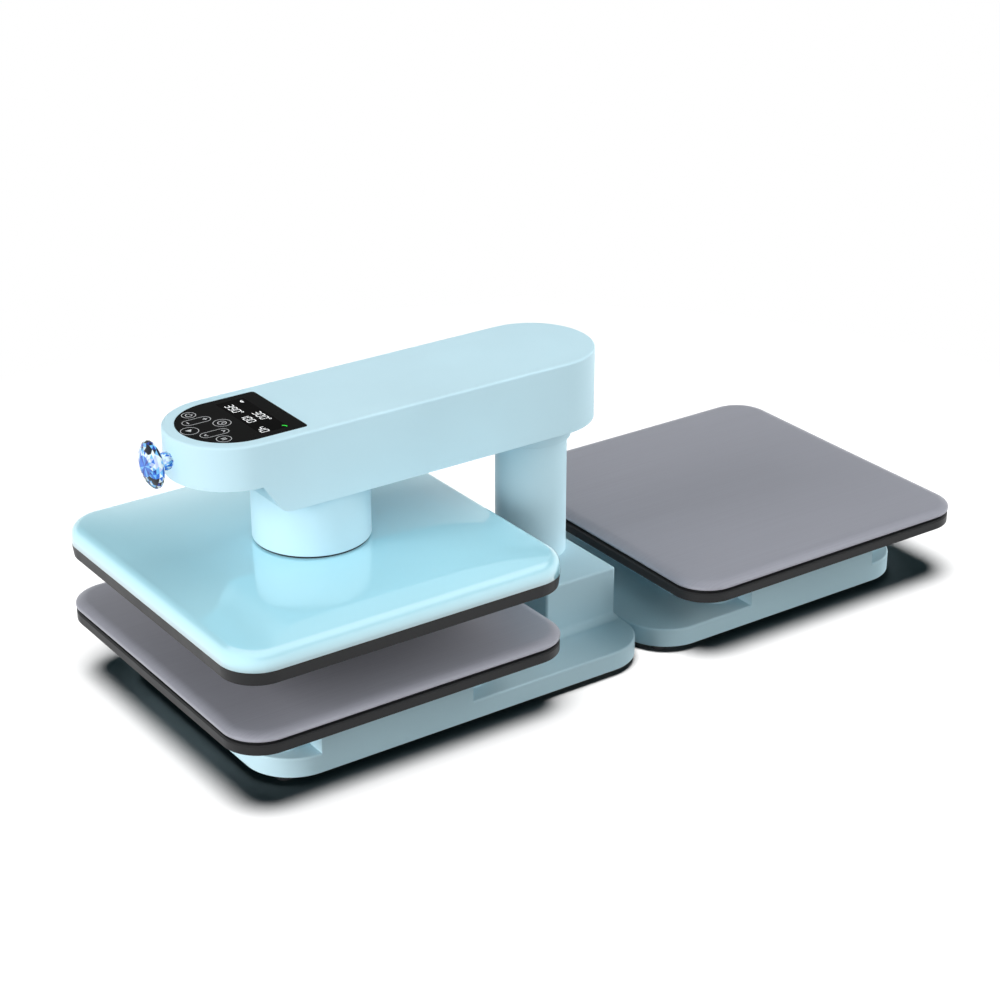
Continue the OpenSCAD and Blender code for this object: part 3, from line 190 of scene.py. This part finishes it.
def ink(name, colour, glow):
    """Printed or lit marks on the panel."""
    s = Shader(name, Roughness=0.4, Emission_Strength=glow, Emission_Color=(*colour, 1.0))
    s.colour(s.mix(s.span(s.noise(scale=300.0)), shade(colour, 0.94), colour))
    return s.material


pale_blue = (0.54, 0.735, 0.81)
gloss_blue = (0.44, 0.77, 0.87)
# Facet colours of the cut crystal: deep, blue and sky are the glass's own tint, lighter and darker from
# facet to facet as painted reflection; black is painted dark reflection, and lilac and white are painted
# glints
crystal_tints_and_reflections = {
    "black": (0.002, 0.004, 0.01), "deep": (0.01, 0.05, 0.34), "blue": (0.03, 0.17, 0.68),
    "sky": (0.16, 0.50, 0.92), "lilac": (0.50, 0.60, 0.90), "white": (0.75, 0.92, 1.0),
}
crystal_glass_and_reflections = {tint: cut_glass("crystal_" + tint, colour) for tint, colour in crystal_tints_and_reflections.items()}
smooth_black = {"grain": 200.0, "depth": 0.002 * MM, "vary": 0.1, "Specular_IOR_Level": 0.01}

looks = {
    "body_satin": moulded("satin_blue", pale_blue, rough=0.42, Specular_IOR_Level=0.12),
    "cover_gloss": polished("gloss_blue", gloss_blue),
    "dark_rim": moulded("dark_rim", (0.022, 0.022, 0.023), rough=0.42, Specular_IOR_Level=0.15),
    "pad_skin": brushed_skin("pad_skin", (0.32, 0.32, 0.365)),
    "foot_rubber": moulded(
        "foot_rubber", (0.015, 0.015, 0.016), rough=0.7, grain=600.0, depth=0.1 * MM
    ),
    "black_plastic": moulded("black_plastic", (0.012, 0.012, 0.013), rough=0.4),
    "motor_case": moulded("motor_case", (0.02, 0.02, 0.022), rough=0.35),
    "circuit_board": moulded(
        "circuit_board", (0.03, 0.13, 0.06), rough=0.4, grain=300.0, depth=0.1 * MM, vary=0.1
    ),
    "panel_glass": moulded("panel_black", (0.0035, 0.0037, 0.0036), rough=0.3, **smooth_black),
    "bronze": machined("bronze", (0.55, 0.36, 0.14), rough=0.32, stretch=(1.0, 1.0, 20.0)),
    "heat_aluminium": moulded(
        "coated_plate", (0.03, 0.03, 0.032), rough=0.35, grain=500.0, depth=0.03 * MM, vary=0.1
    ),
    "fibre_board": moulded(
        "fibre_board", (0.72, 0.69, 0.62), rough=0.85, grain=260.0, depth=0.3 * MM, vary=0.06
    ),
    "steel": machined("steel", (0.5, 0.52, 0.54), rough=0.3, stretch=(1.0, 1.0, 12.0)),
    "crystal": crystal_glass_and_reflections["blue"],
}
window_black = moulded("window_black", (0.0006, 0.0006, 0.0006), rough=0.12, **smooth_black)
print_grey = ink("print_grey", (0.62, 0.62, 0.63), glow=0.0)
lit_white = ink("lit_white", (0.9, 0.9, 0.9), glow=0.45)
lit_green = ink("lit_green", (0.0, 0.62, 0.02), glow=0.5)

for row in frame["record"]["subparts"]:
    mesh = nodes[row["node"]].data
    mesh.materials.clear()
    mesh.materials.append(looks[row["material_slot"]])


# Pieces made here

def add_piece(name, bm, material, body, smooth=True):
    """Turns a bmesh into an object that moves with a body and takes the given material."""
    bmesh.ops.recalc_face_normals(bm, faces=bm.faces)
    mesh = bpy.data.meshes.new(name)
    bm.to_mesh(mesh)
    bm.free()
    mesh.materials.append(material)
    for polygon in mesh.polygons:
        polygon.use_smooth = smooth
    piece = bpy.data.objects.new(name, mesh)
    bpy.context.scene.collection.objects.link(piece)
    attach(piece, body)
    return piece


def skin_rings(bm, rings):
    """Joins closed rings of equal length into a skin and caps both ends."""
    loops = [[bm.verts.new(point) for point in ring] for ring in rings]
    count = len(loops[0])
    for lower, upper in zip(loops, loops[1:]):
        for i in range(count):
            j = (i + 1) % count
            bm.faces.new((lower[i], lower[j], upper[j], upper[i]))
    bm.faces.new(list(reversed(loops[0])))
    bm.faces.new(loops[-1])


def right_angle(steps):
    """Angles in even steps from 0 to a right angle."""
    return [i / steps * math.pi / 2 for i in range(steps + 1)]


def rounded_square(half, corner, arc_steps=14, side_steps=10):
    """Points around a square with round corners, evenly spread along its sides."""
    points = []
    straight = half - corner
    for quarter in range(4):
        turn = Matrix.Rotation(quarter * math.pi / 2, 2)
        for angle in right_angle(arc_steps):
            spot = Vector((straight + corner * math.cos(angle), straight + corner * math.sin(angle)))
            points.append(turn @ spot)
        for i in range(1, side_steps):
            points.append(turn @ Vector((straight * (1 - 2 * i / side_steps), half)))
    return points


# Soft pads

def crowned_edge(edge, fall, steps=8):
    """Inset and drop along an edge: a tight arc at the side that runs into a wide one on the top."""
    tight = 0.45 * edge
    wide = ((fall - tight) ** 2 + edge ** 2 - tight ** 2) / (2 * (edge - tight))
    lean = math.atan2(wide - edge, fall - tight)
    points = []
    for i in range(steps):
        angle = lean * i / steps
        points.append((tight * (1 - math.cos(angle)), edge - tight * math.sin(angle)))
    for i in range(steps + 1):
        angle = lean + (math.pi / 2 - lean) * i / steps
        points.append((fall - wide * math.cos(angle), wide * (1 - math.sin(angle))))
    return points


def make_pad(node):
    """Foam pad under a tight skin: round edges, a slight crown, and sides that draw in a little."""
    low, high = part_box(node)
    centre = (Vector(low) + Vector(high)) / 2
    swell = 1.5 * MM
    half = (high[0] - low[0]) / 2 + swell
    height = high[2] - low[2]
    corner = 39 * MM + swell
    hem = 1.0 * MM
    hem_steps = 4
    edge = 5.8 * MM
    fall = 13 * MM
    crown = 0.5 * MM
    draw_in = 0.5 * MM
    top_shares = (0.96, 0.88, 0.76, 0.6, 0.4, 0.2, 0.05)

    profile = []
    for angle in right_angle(hem_steps):
        profile.append((hem * (1 - math.sin(angle)), hem * (1 - math.cos(angle))))
    for inset, drop in crowned_edge(edge, fall):
        profile.append((inset, height - crown - drop))
    rings = []
    for inset, rise in profile:
        ring = []
        for spot in rounded_square(half - inset, corner - inset):
            along = min(abs(spot.x), abs(spot.y)) / half
            pull = 1 - draw_in / half * max(0.0, math.cos(along * math.pi / 2)) ** 2
            ring.append((centre.x + spot.x * pull, centre.y + spot.y * pull, low[2] + rise))
        rings.append(ring)
    flat = rings[-1]
    for share in top_shares:
        lift = crown * (1 - share ** 2)
        ring = []
        for x, y, z in flat:
            ring.append((centre.x + (x - centre.x) * share, centre.y + (y - centre.y) * share, z + lift))
        rings.append(ring)

    bm = bmesh.new()
    skin_rings(bm, rings)
    pad = add_piece("soft_" + node, bm, looks["pad_skin"], "base")
    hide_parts(node)


make_pad("pad_a")
make_pad("pad_b")


# Glossy cover and neck of the head

def make_cover():
    """Thin shell: upright foot, round edge, and a top that falls gently towards its sides."""
    low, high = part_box("head_cover")
    centre = (Vector(low) + Vector(high)) / 2
    half = (high[0] - low[0]) / 2
    corner = 40 * MM
    fall = 4.5 * MM
    side = high[2] - low[2] - fall
    outer_edge = 11 * MM
    lean = 0.8 * MM
    thickness = 1.5 * MM
    edge_steps = 14
    top_steps = 40
    flatness = 4

    def skin(wall):
        """Rings from the foot to the middle of the top, set in by the wall."""
        edge = outer_edge - wall
        profile = [(0.0, 0.0)]
        for angle in right_angle(edge_steps):
            inset = lean + edge * (1 - math.cos(angle))
            profile.append((inset, side - wall - edge * (1 - math.sin(angle))))
        rings = []
        for inset, rise in profile:
            outline = rounded_square(half - wall - inset, corner - wall - inset, arc_steps=20, side_steps=24)
            rings.append([(centre.x + spot.x, centre.y + spot.y, low[2] + rise) for spot in outline])
        reach = half - wall - lean - edge
        rim = rings[-1]
        for i in range(1, top_steps):
            share = 1 - i / top_steps
            ring = []
            for x, y, z in rim:
                across = (x - centre.x) * share
                along = (y - centre.y) * share
                lift = fall * (1 - (across / reach) ** flatness) * (1 - (along / reach) ** flatness)
                ring.append((centre.x + across, centre.y + along, z + lift))
            rings.append(ring)
        return rings

    bm = bmesh.new()
    skin_rings(bm, list(reversed(skin(0.0))) + skin(thickness))
    cover = add_piece("smooth_cover", bm, looks["cover_gloss"], "head")
    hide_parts("head_cover")


def turned(middle_x, middle_y, profile, sides=128):
    """Ring-shaped solid: a closed profile of radius and height, turned about an upright axis."""
    bm = bmesh.new()
    angles = [2 * math.pi * i / sides for i in range(sides)]
    loops = []
    for radius, z in profile:
        points = [(middle_x + radius * math.cos(a), middle_y + radius * math.sin(a), z) for a in angles]
        loops.append([bm.verts.new(point) for point in points])
    for k, loop in enumerate(loops):
        following = loops[(k + 1) % len(loops)]
        for i in range(sides):
            j = (i + 1) % sides
            bm.faces.new((loop[i], loop[j], following[j], following[i]))
    return bm


def make_neck():
    """Turned tube that stands over the cover, with a dark ring of painted shade in the gap under it."""
    low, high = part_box("neck_sleeve")
    middle = ((low[0] + high[0]) / 2, (low[1] + high[1]) / 2)
    gap = 2 * MM
    edge = 1 * MM
    edge_middle = 0.3 * edge
    wall = 4 * MM
    shade_ring_inset = 1.6 * MM
    sharp = math.radians(50)

    outer = (high[0] - low[0]) / 2
    inner = outer - wall
    foot, top = low[2], high[2]
    brim = foot + gap
    tube = [
        (outer, top), (outer, brim + edge), (outer - edge_middle, brim + edge_middle), (outer - edge, brim),
        (inner, brim), (inner, top),
    ]
    neck = add_piece("turned_neck", turned(*middle, tube), looks["body_satin"], "head")
    neck.data.set_sharp_from_angle(angle=sharp)
    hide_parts("neck_sleeve")

    # The dark ring in the gap under the neck is painted shade: it darkens the gap where the shade falls
    rim = outer - shade_ring_inset
    ring = [(rim, brim), (rim, foot), (inner, foot), (inner, brim)]
    add_piece("neck_shade_ring", turned(*middle, ring), looks["foot_rubber"], "head")


make_cover()
make_neck()


# Cut crystal knob

# Where each band of facets ends below, as a share of the radius, and the tints that take turns in it: black
# facets are painted dark reflections, white and lilac ones are painted glints
facet_tint_and_reflection_bands = (
    (0.62, ("black", "deep", "black", "black", "sky", "black", "white")),
    (0.1, ("white", "sky", "lilac", "white", "blue", "lilac", "white")),
    (-0.3, ("blue", "sky", "blue", "deep", "blue", "white", "sky")),
    (-math.inf, ("black", "white", "black", "black", "deep", "black", "sky")),
)
# Tints of the table's facets: blue glass, lighter and darker in turn as painted reflection
table_tints_and_reflections = ("blue", "blue", "deep", "blue", "sky")
# Distance from the nose as a share of the length, and radius as a share of the largest one
crystal_cuts = (
    (0.0, 0.27), (0.09, 0.36), (0.2, 0.385), (0.3, 0.35), (0.37, 0.30), (0.44, 0.48), (0.52, 0.67),
    (0.6, 0.85), (0.68, 0.985), (0.75, 0.99), (0.83, 0.9), (0.9, 0.78), (0.96, 0.62), (1.0, 0.45),
)


def tint_number(tint):
    return list(crystal_tints_and_reflections).index(tint)


def facet_tint_and_reflection(ring, step, turn, height):
    """Tint number of a facet: painted dark reflections towards the top and bottom, painted pale glints and
    blue glass in turn between them.
    """
    order = next(tints for lowest, tints in facet_tint_and_reflection_bands if height > lowest)
    return tint_number(order[(3 * step + 2 * ring + turn * (ring + 1)) % len(order)])


def make_crystal():
    """Cut glass: a faceted bead at the nose, a flared back, a girdle, a crown and a flat table, its facets
    tinted with painted reflections and glints.
    """
    low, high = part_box("crystal_knob")
    root_x = high[0]
    axis_z = (low[2] + high[2]) / 2
    length = high[0] - low[0]
    radius = (high[2] - low[2]) / 2
    sides = 22
    bm = bmesh.new()
    loops = []
    for k, (share, size) in enumerate(crystal_cuts):
        loop = []
        for i in range(sides):
            angle = (i + 0.5 * (k % 2)) / sides * 2 * math.pi
            y = radius * size * math.cos(angle)
            z = axis_z + radius * size * math.sin(angle)
            loop.append(bm.verts.new((root_x - share * length, y, z)))
        loops.append(loop)
    for k, (near, far) in enumerate(zip(loops, loops[1:])):
        shift = k % 2
        for i in range(sides):
            a, b = near[i], near[(i + 1) % sides]
            c, d = far[(i + shift) % sides], far[(i + shift - 1) % sides]
            for turn, corners in enumerate(((a, b, c), (a, c, d))):
                face = bm.faces.new(corners)
                height = (face.calc_center_median().z - axis_z) / radius
                # Each facet takes a tint from its band: painted dark reflection, painted glint and blue
                # glass take turns
                face.material_index = facet_tint_and_reflection(k, i, turn, height)
    bm.faces.new(loops[0])
    tip = bm.verts.new((root_x - length, 0.0, axis_z))
    table = loops[-1]
    for i in range(sides):
        star = bm.faces.new((table[i], table[(i + 1) % sides], tip))
        # The table's facets take blue glass tints, lighter and darker as painted reflection
        star.material_index = tint_number(table_tints_and_reflections[i % len(table_tints_and_reflections)])
    first, *others = crystal_glass_and_reflections.values()
    knob = add_piece("cut_crystal", bm, first, "arm", smooth=False)
    for glass in others:
        knob.data.materials.append(glass)
    knob.visible_shadow = False
    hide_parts("crystal_knob")


make_crystal()


# Marks on the control panel

def stroke(bm, points, width, z, closed=False):
    """Flat ribbon along a line of points."""
    count = len(points)
    pairs = []
    for i, point in enumerate(points):
        before = points[i - 1] if closed or i > 0 else point
        after = points[(i + 1) % count] if closed or i < count - 1 else point
        ahead = (Vector(after) - Vector(before)).normalized()
        side = Vector((-ahead.y, ahead.x)) * width / 2
        pairs.append([bm.verts.new((point[0] + s * side.x, point[1] + s * side.y, z)) for s in (-1, 1)])
    for i in range(count if closed else count - 1):
        j = (i + 1) % count
        bm.faces.new((pairs[i][0], pairs[j][0], pairs[j][1], pairs[i][1]))


class PanelMarks:
    """Marks in panel millimetres: x runs to the reader's right, y away from the reader."""

    def __init__(self, place, z):
        self.bm = bmesh.new()
        self.place = place
        self.z = z

    def spot(self, x, y):
        """The panel is read from the nose, so its right is -Y and its far side is +X."""
        return (self.place[0] + y * MM, self.place[1] - x * MM)

    def line(self, points, width, closed=False):
        stroke(self.bm, [self.spot(x, y) for x, y in points], width * MM, self.z, closed)

    def arc(self, x, y, radius, width, start=0, end=360, steps=40):
        closed = end - start == 360
        count = steps if closed else steps + 1
        angles = [math.radians(start + (end - start) * i / steps) for i in range(count)]
        self.line([(x + radius * math.cos(a), y + radius * math.sin(a)) for a in angles], width, closed)

    def pill(self, x, y, length, breadth, width, steps=20):
        """Upright stadium outline."""
        radius = breadth / 2
        reach = length / 2 - radius
        points = []
        for centre, start in ((y + reach, 0), (y - reach, 180)):
            for i in range(steps + 1):
                angle = math.radians(start + 180 * i / steps)
                points.append((x + radius * math.cos(angle), centre + radius * math.sin(angle)))
        self.line(points, width, closed=True)

    def block(self, x, y, breadth, length):
        self.line([(x, y - length / 2), (x, y + length / 2)], breadth)

    def digit(self, figure, x, y, breadth=4.6, height=8.4, width=0.95):
        """Seven-segment figure."""
        half, tall, gap = breadth / 2, height / 2, 0.35 * width
        segments = {
            "a": ((-half + gap, tall), (half - gap, tall)), "g": ((-half + gap, 0), (half - gap, 0)),
            "d": ((-half + gap, -tall), (half - gap, -tall)), "f": ((-half, gap), (-half, tall - gap)),
            "b": ((half, gap), (half, tall - gap)), "e": ((-half, gap - tall), (-half, -gap)),
            "c": ((half, gap - tall), (half, -gap)),
        }
        lit = {"0": "abcdef", "1": "bc", "3": "abcdg", "4": "bcfg", "9": "abcdfg"}[figure]
        for name in lit:
            self.line([(x + px, y + py) for px, py in segments[name]], width)

    def number(self, figures, x, y, pitch=7.2):
        first = x - (len(figures) - 1) / 2 * pitch
        for i, figure in enumerate(figures):
            self.digit(figure, first + i * pitch, y)


def draw_keys(keys):
    """Outlined touch keys, each with a plain symbol."""
    outline = 0.65
    thin = 0.9
    thick = 1.2
    half = 2.4
    side_y, clock_y, start_y = 0.5, 17.8, -17.2
    power_x, level_x, height_x, pause_x = -35, -18, 18, 35

    keys.arc(power_x, side_y, radius=6.9, width=outline)
    keys.arc(pause_x, side_y, radius=7.2, width=outline)
    keys.arc(0, clock_y, radius=8.7, width=outline)
    keys.arc(0, start_y, radius=8.7, width=outline)
    for x in (level_x, height_x):
        keys.pill(x, -0.3, length=29.5, breadth=12.2, width=outline)

    # Power
    keys.arc(power_x, side_y, radius=3.2, width=0.8, start=120, end=420)
    keys.block(power_x, 3.2, breadth=0.8, length=3.4)
    # Minus and plus
    for y in (-9.5, 9):
        keys.line([(level_x - half, y), (level_x + half, y)], thick)
    keys.block(level_x, 9, breadth=thick, length=2 * half)
    # Clock
    keys.arc(0, clock_y, radius=4.2, width=thin)
    keys.line([(0, clock_y + 2.8), (0, clock_y), (2.2, clock_y - 1.2)], thin)
    # Start
    for i in range(5):
        keys.block(i - half, start_y, breadth=1.02, length=6.4 - 1.28 * i)
    # Down and up
    for way in (-1, 1):
        keys.line([(height_x - half, 8 * way), (height_x, 11 * way), (height_x + half, 8 * way)], thick)
    # Pause
    for x in (pause_x - 1.4, pause_x + 1.4):
        keys.block(x, side_y, breadth=1.3, length=5.2)


def draw_figures(figures):
    """Lit read-outs in the display: figures, two degree rings and a pair of arcs."""
    for text, x, y in (("390", -25, -6.6), ("300", 4.5, 7.2), ("100", 5, -7.2), ("40", 36.5, -8.6)):
        figures.number(text, x, y)
    for x, y in ((-12.6, -2.8), (17, 11)):
        figures.arc(x, y, radius=1.1, width=0.7, steps=20)
    for radius in (1.6, 3.0):
        figures.arc(-36, 11.5, radius, width=0.9, start=200, end=340, steps=12)


def make_panel():
    """Touch keys, a dark display window, its figures and a status light, each a little above the glass."""
    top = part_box("panel_glass")[1][2]
    window_low, window_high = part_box("display_module")
    window_place = ((window_low[0] + window_high[0]) / 2, 0.0)
    key_place = (-0.3825, 0.0)

    window = PanelMarks(window_place, top + 0.02 * MM)
    breadth = (window_high[1] - window_low[1]) / MM
    length = (window_high[0] - window_low[0]) / MM
    window.block(0, 0, breadth, length)
    add_piece("display_window", window.bm, window_black, "arm")

    keys = PanelMarks(key_place, top + 0.04 * MM)
    draw_keys(keys)
    add_piece("panel_keys", keys.bm, print_grey, "arm")

    figures = PanelMarks(window_place, top + 0.05 * MM)
    draw_figures(figures)
    add_piece("panel_figures", figures.bm, lit_white, "arm")

    light = PanelMarks(window_place, top + 0.05 * MM)
    light_width = 1.6
    light_bend = (39.8, 13.8)
    light.line([(38.4, 11.4), light_bend], light_width)
    light.line([light_bend, (43, 14.6)], light_width)
    add_piece("status_light", light.bm, lit_green, "arm")


make_panel()


# Stage: pale floor, soft studio light, camera at the photo's angle

def make_floor():
    """Grey floor that its lamp brings to white. The camera sees it plain white away from the part."""
    reach = 6.0
    grey = (0.2, 0.2, 0.2)
    paler_grey = (0.205, 0.205, 0.205)
    # Dim for light that bounces off it, so that little comes back to the part
    bounced = (0.025, 0.025, 0.025)
    plain_from = 0.65
    plain_beyond = 1.0

    mesh = bpy.data.meshes.new("floor")
    corners = [(-reach, -reach, 0), (reach, -reach, 0), (reach, reach, 0), (-reach, reach, 0)]
    mesh.from_pydata(corners, [], [(0, 1, 2, 3)])
    floor = bpy.data.objects.new("floor", mesh)
    bpy.context.scene.collection.objects.link(floor)

    s = Shader("floor_white", Roughness=0.9, Specular_IOR_Level=0.0)
    path = s.add("ShaderNodeLightPath")
    s.colour(s.mix(path.outputs["Is Diffuse Ray"], s.mix(s.noise(scale=2.0), grey, paler_grey), bounced))
    distance = s.add("ShaderNodeVectorMath", operation="LENGTH")
    s.link(s.place, distance.inputs[0])
    away = s.span(distance.outputs["Value"], start=plain_from, end=plain_beyond)
    seen = s.add("ShaderNodeMath", operation="MULTIPLY")
    s.link(away, seen.inputs[0])
    s.link(path.outputs["Is Camera Ray"], seen.inputs[1])
    white = s.add("ShaderNodeEmission")
    choose = s.add("ShaderNodeMixShader")
    s.link(seen.outputs["Value"], choose.inputs["Fac"])
    s.link(s.shader.outputs["BSDF"], choose.inputs[1])
    s.link(white.outputs["Emission"], choose.inputs[2])
    s.link(choose.outputs["Shader"], s.tree.nodes["Material Output"].inputs["Surface"])
    mesh.materials.append(s.material)
    return floor


def make_world():
    """White to the camera, a lit studio in reflections, and a dim blue for all other light."""
    ambient_colour = (0.4, 0.85, 1.0, 1.0)
    ambient = 0.1
    sky_top = 0.15

    world = bpy.data.worlds.new("studio")
    bpy.context.scene.world = world
    world.use_nodes = True
    tree = world.node_tree
    tree.nodes.clear()
    out = tree.nodes.new("ShaderNodeOutputWorld")
    path = tree.nodes.new("ShaderNodeLightPath")
    soft = tree.nodes.new("ShaderNodeBackground")
    soft.inputs["Color"].default_value = ambient_colour
    soft.inputs["Strength"].default_value = ambient
    white = tree.nodes.new("ShaderNodeBackground")
    white.inputs["Color"].default_value = (1.0, 1.0, 1.0, 1.0)
    sky = tree.nodes.new("ShaderNodeSeparateXYZ")
    tree.links.new(tree.nodes.new("ShaderNodeTexCoord").outputs["Generated"], sky.inputs["Vector"])

    def ramp(axis, start, end, low, high):
        """Brightness that changes along one axis of the direction in the world."""
        return map_range(tree, sky.outputs[axis], start, end, low, high)

    def brightest(first, *others):
        for other in others:
            node = tree.nodes.new("ShaderNodeMath")
            node.operation = "MAXIMUM"
            tree.links.new(first, node.inputs[0])
            tree.links.new(other, node.inputs[1])
            first = node.outputs["Value"]
        return first

    horizon = ramp("Z", start=0.25, end=0.47, low=1.0, high=sky_top)
    top_light = ramp("Z", start=0.6, end=0.74, low=0.0, high=1.0)
    left_window = ramp("X", start=-0.3, end=-0.5, low=0.0, high=1.0)
    front_wall = ramp("Y", start=-0.1, end=-0.4, low=0.0, high=0.4)
    seen = brightest(horizon, top_light, left_window, front_wall, path.outputs["Is Camera Ray"])
    tree.links.new(seen, white.inputs["Strength"])
    choose = tree.nodes.new("ShaderNodeMixShader")
    tree.links.new(path.outputs["Is Diffuse Ray"], choose.inputs["Fac"])
    tree.links.new(white.outputs["Background"], choose.inputs[1])
    tree.links.new(soft.outputs["Background"], choose.inputs[2])
    tree.links.new(choose.outputs["Shader"], out.inputs["Surface"])


def make_lamp(name, azimuth, elevation, strength, angle, lit):
    """Wide distant lamp that reflections leave out. Azimuth 0 is the front, 90 the left and 180 the back."""
    distance = 3.0
    turn, rise = math.radians(azimuth), math.radians(elevation)
    level = math.cos(rise)
    towards = Vector((-math.sin(turn) * level, -math.cos(turn) * level, math.sin(rise)))
    data = bpy.data.lights.new(name, "SUN")
    data.energy = strength
    data.angle = math.radians(angle)
    lamp = bpy.data.objects.new(name, data)
    lamp.location = distance * towards
    lamp.rotation_euler = towards.to_track_quat("Z", "Y").to_euler()
    lamp.visible_glossy = False
    bpy.context.scene.collection.objects.link(lamp)
    lamp.light_linking.receiver_collection = lit


def these_alone(name, things):
    """Set of objects for a lamp: only these."""
    lit = bpy.data.collections.new(name)
    for thing in things:
        lit.objects.link(thing)
    return lit


def all_but(name, left_out):
    """Set of objects for a lamp: everything but those left out."""
    lit = these_alone(name, left_out)
    for entry in lit.collection_objects:
        entry.light_linking.link_state = "EXCLUDE"
    return lit


def make_camera():
    data = bpy.data.cameras.new("camera")
    data.sensor_width = 36.0
    data.lens = 85.85
    camera = bpy.data.objects.new("camera", data)
    camera.location = (-1.35392, -1.87613, 1.21069)
    camera.rotation_euler = (math.radians(65.23), 0.0, math.radians(-35.01))
    bpy.context.scene.collection.objects.link(camera)
    bpy.context.scene.camera = camera


make_camera()
floor = make_floor()
make_world()

base_shells = [nodes["base_shell_a"], nodes["base_shell_b"]]
floor_alone = these_alone("floor_alone", [floor])
not_floor = all_but("not_floor", [floor])
base_alone = these_alone("base_alone", base_shells)
above_base = all_but("above_base", [floor, *base_shells])

# The floor's lamp is high up, a little to the left and front, so that the part's shadow lies close to it
make_lamp("overhead", azimuth=57, elevation=81, strength=19.3, angle=34, lit=floor_alone)
make_lamp("left", azimuth=90, elevation=24, strength=2.35, angle=30, lit=not_floor)
make_lamp("right", azimuth=-90, elevation=24, strength=2.0, angle=34, lit=not_floor)
make_lamp("front_right", azimuth=-55, elevation=18, strength=1.5, angle=50, lit=not_floor)
make_lamp("front_left", azimuth=50, elevation=12, strength=1.8, angle=50, lit=above_base)
make_lamp("low_left", azimuth=87, elevation=6, strength=2.0, angle=30, lit=base_alone)
make_lamp("front", azimuth=5, elevation=18, strength=0.35, angle=50, lit=not_floor)
make_lamp("back", azimuth=180, elevation=15, strength=0.8, angle=50, lit=not_floor)

bpy.context.scene.view_settings.view_transform = "Standard"
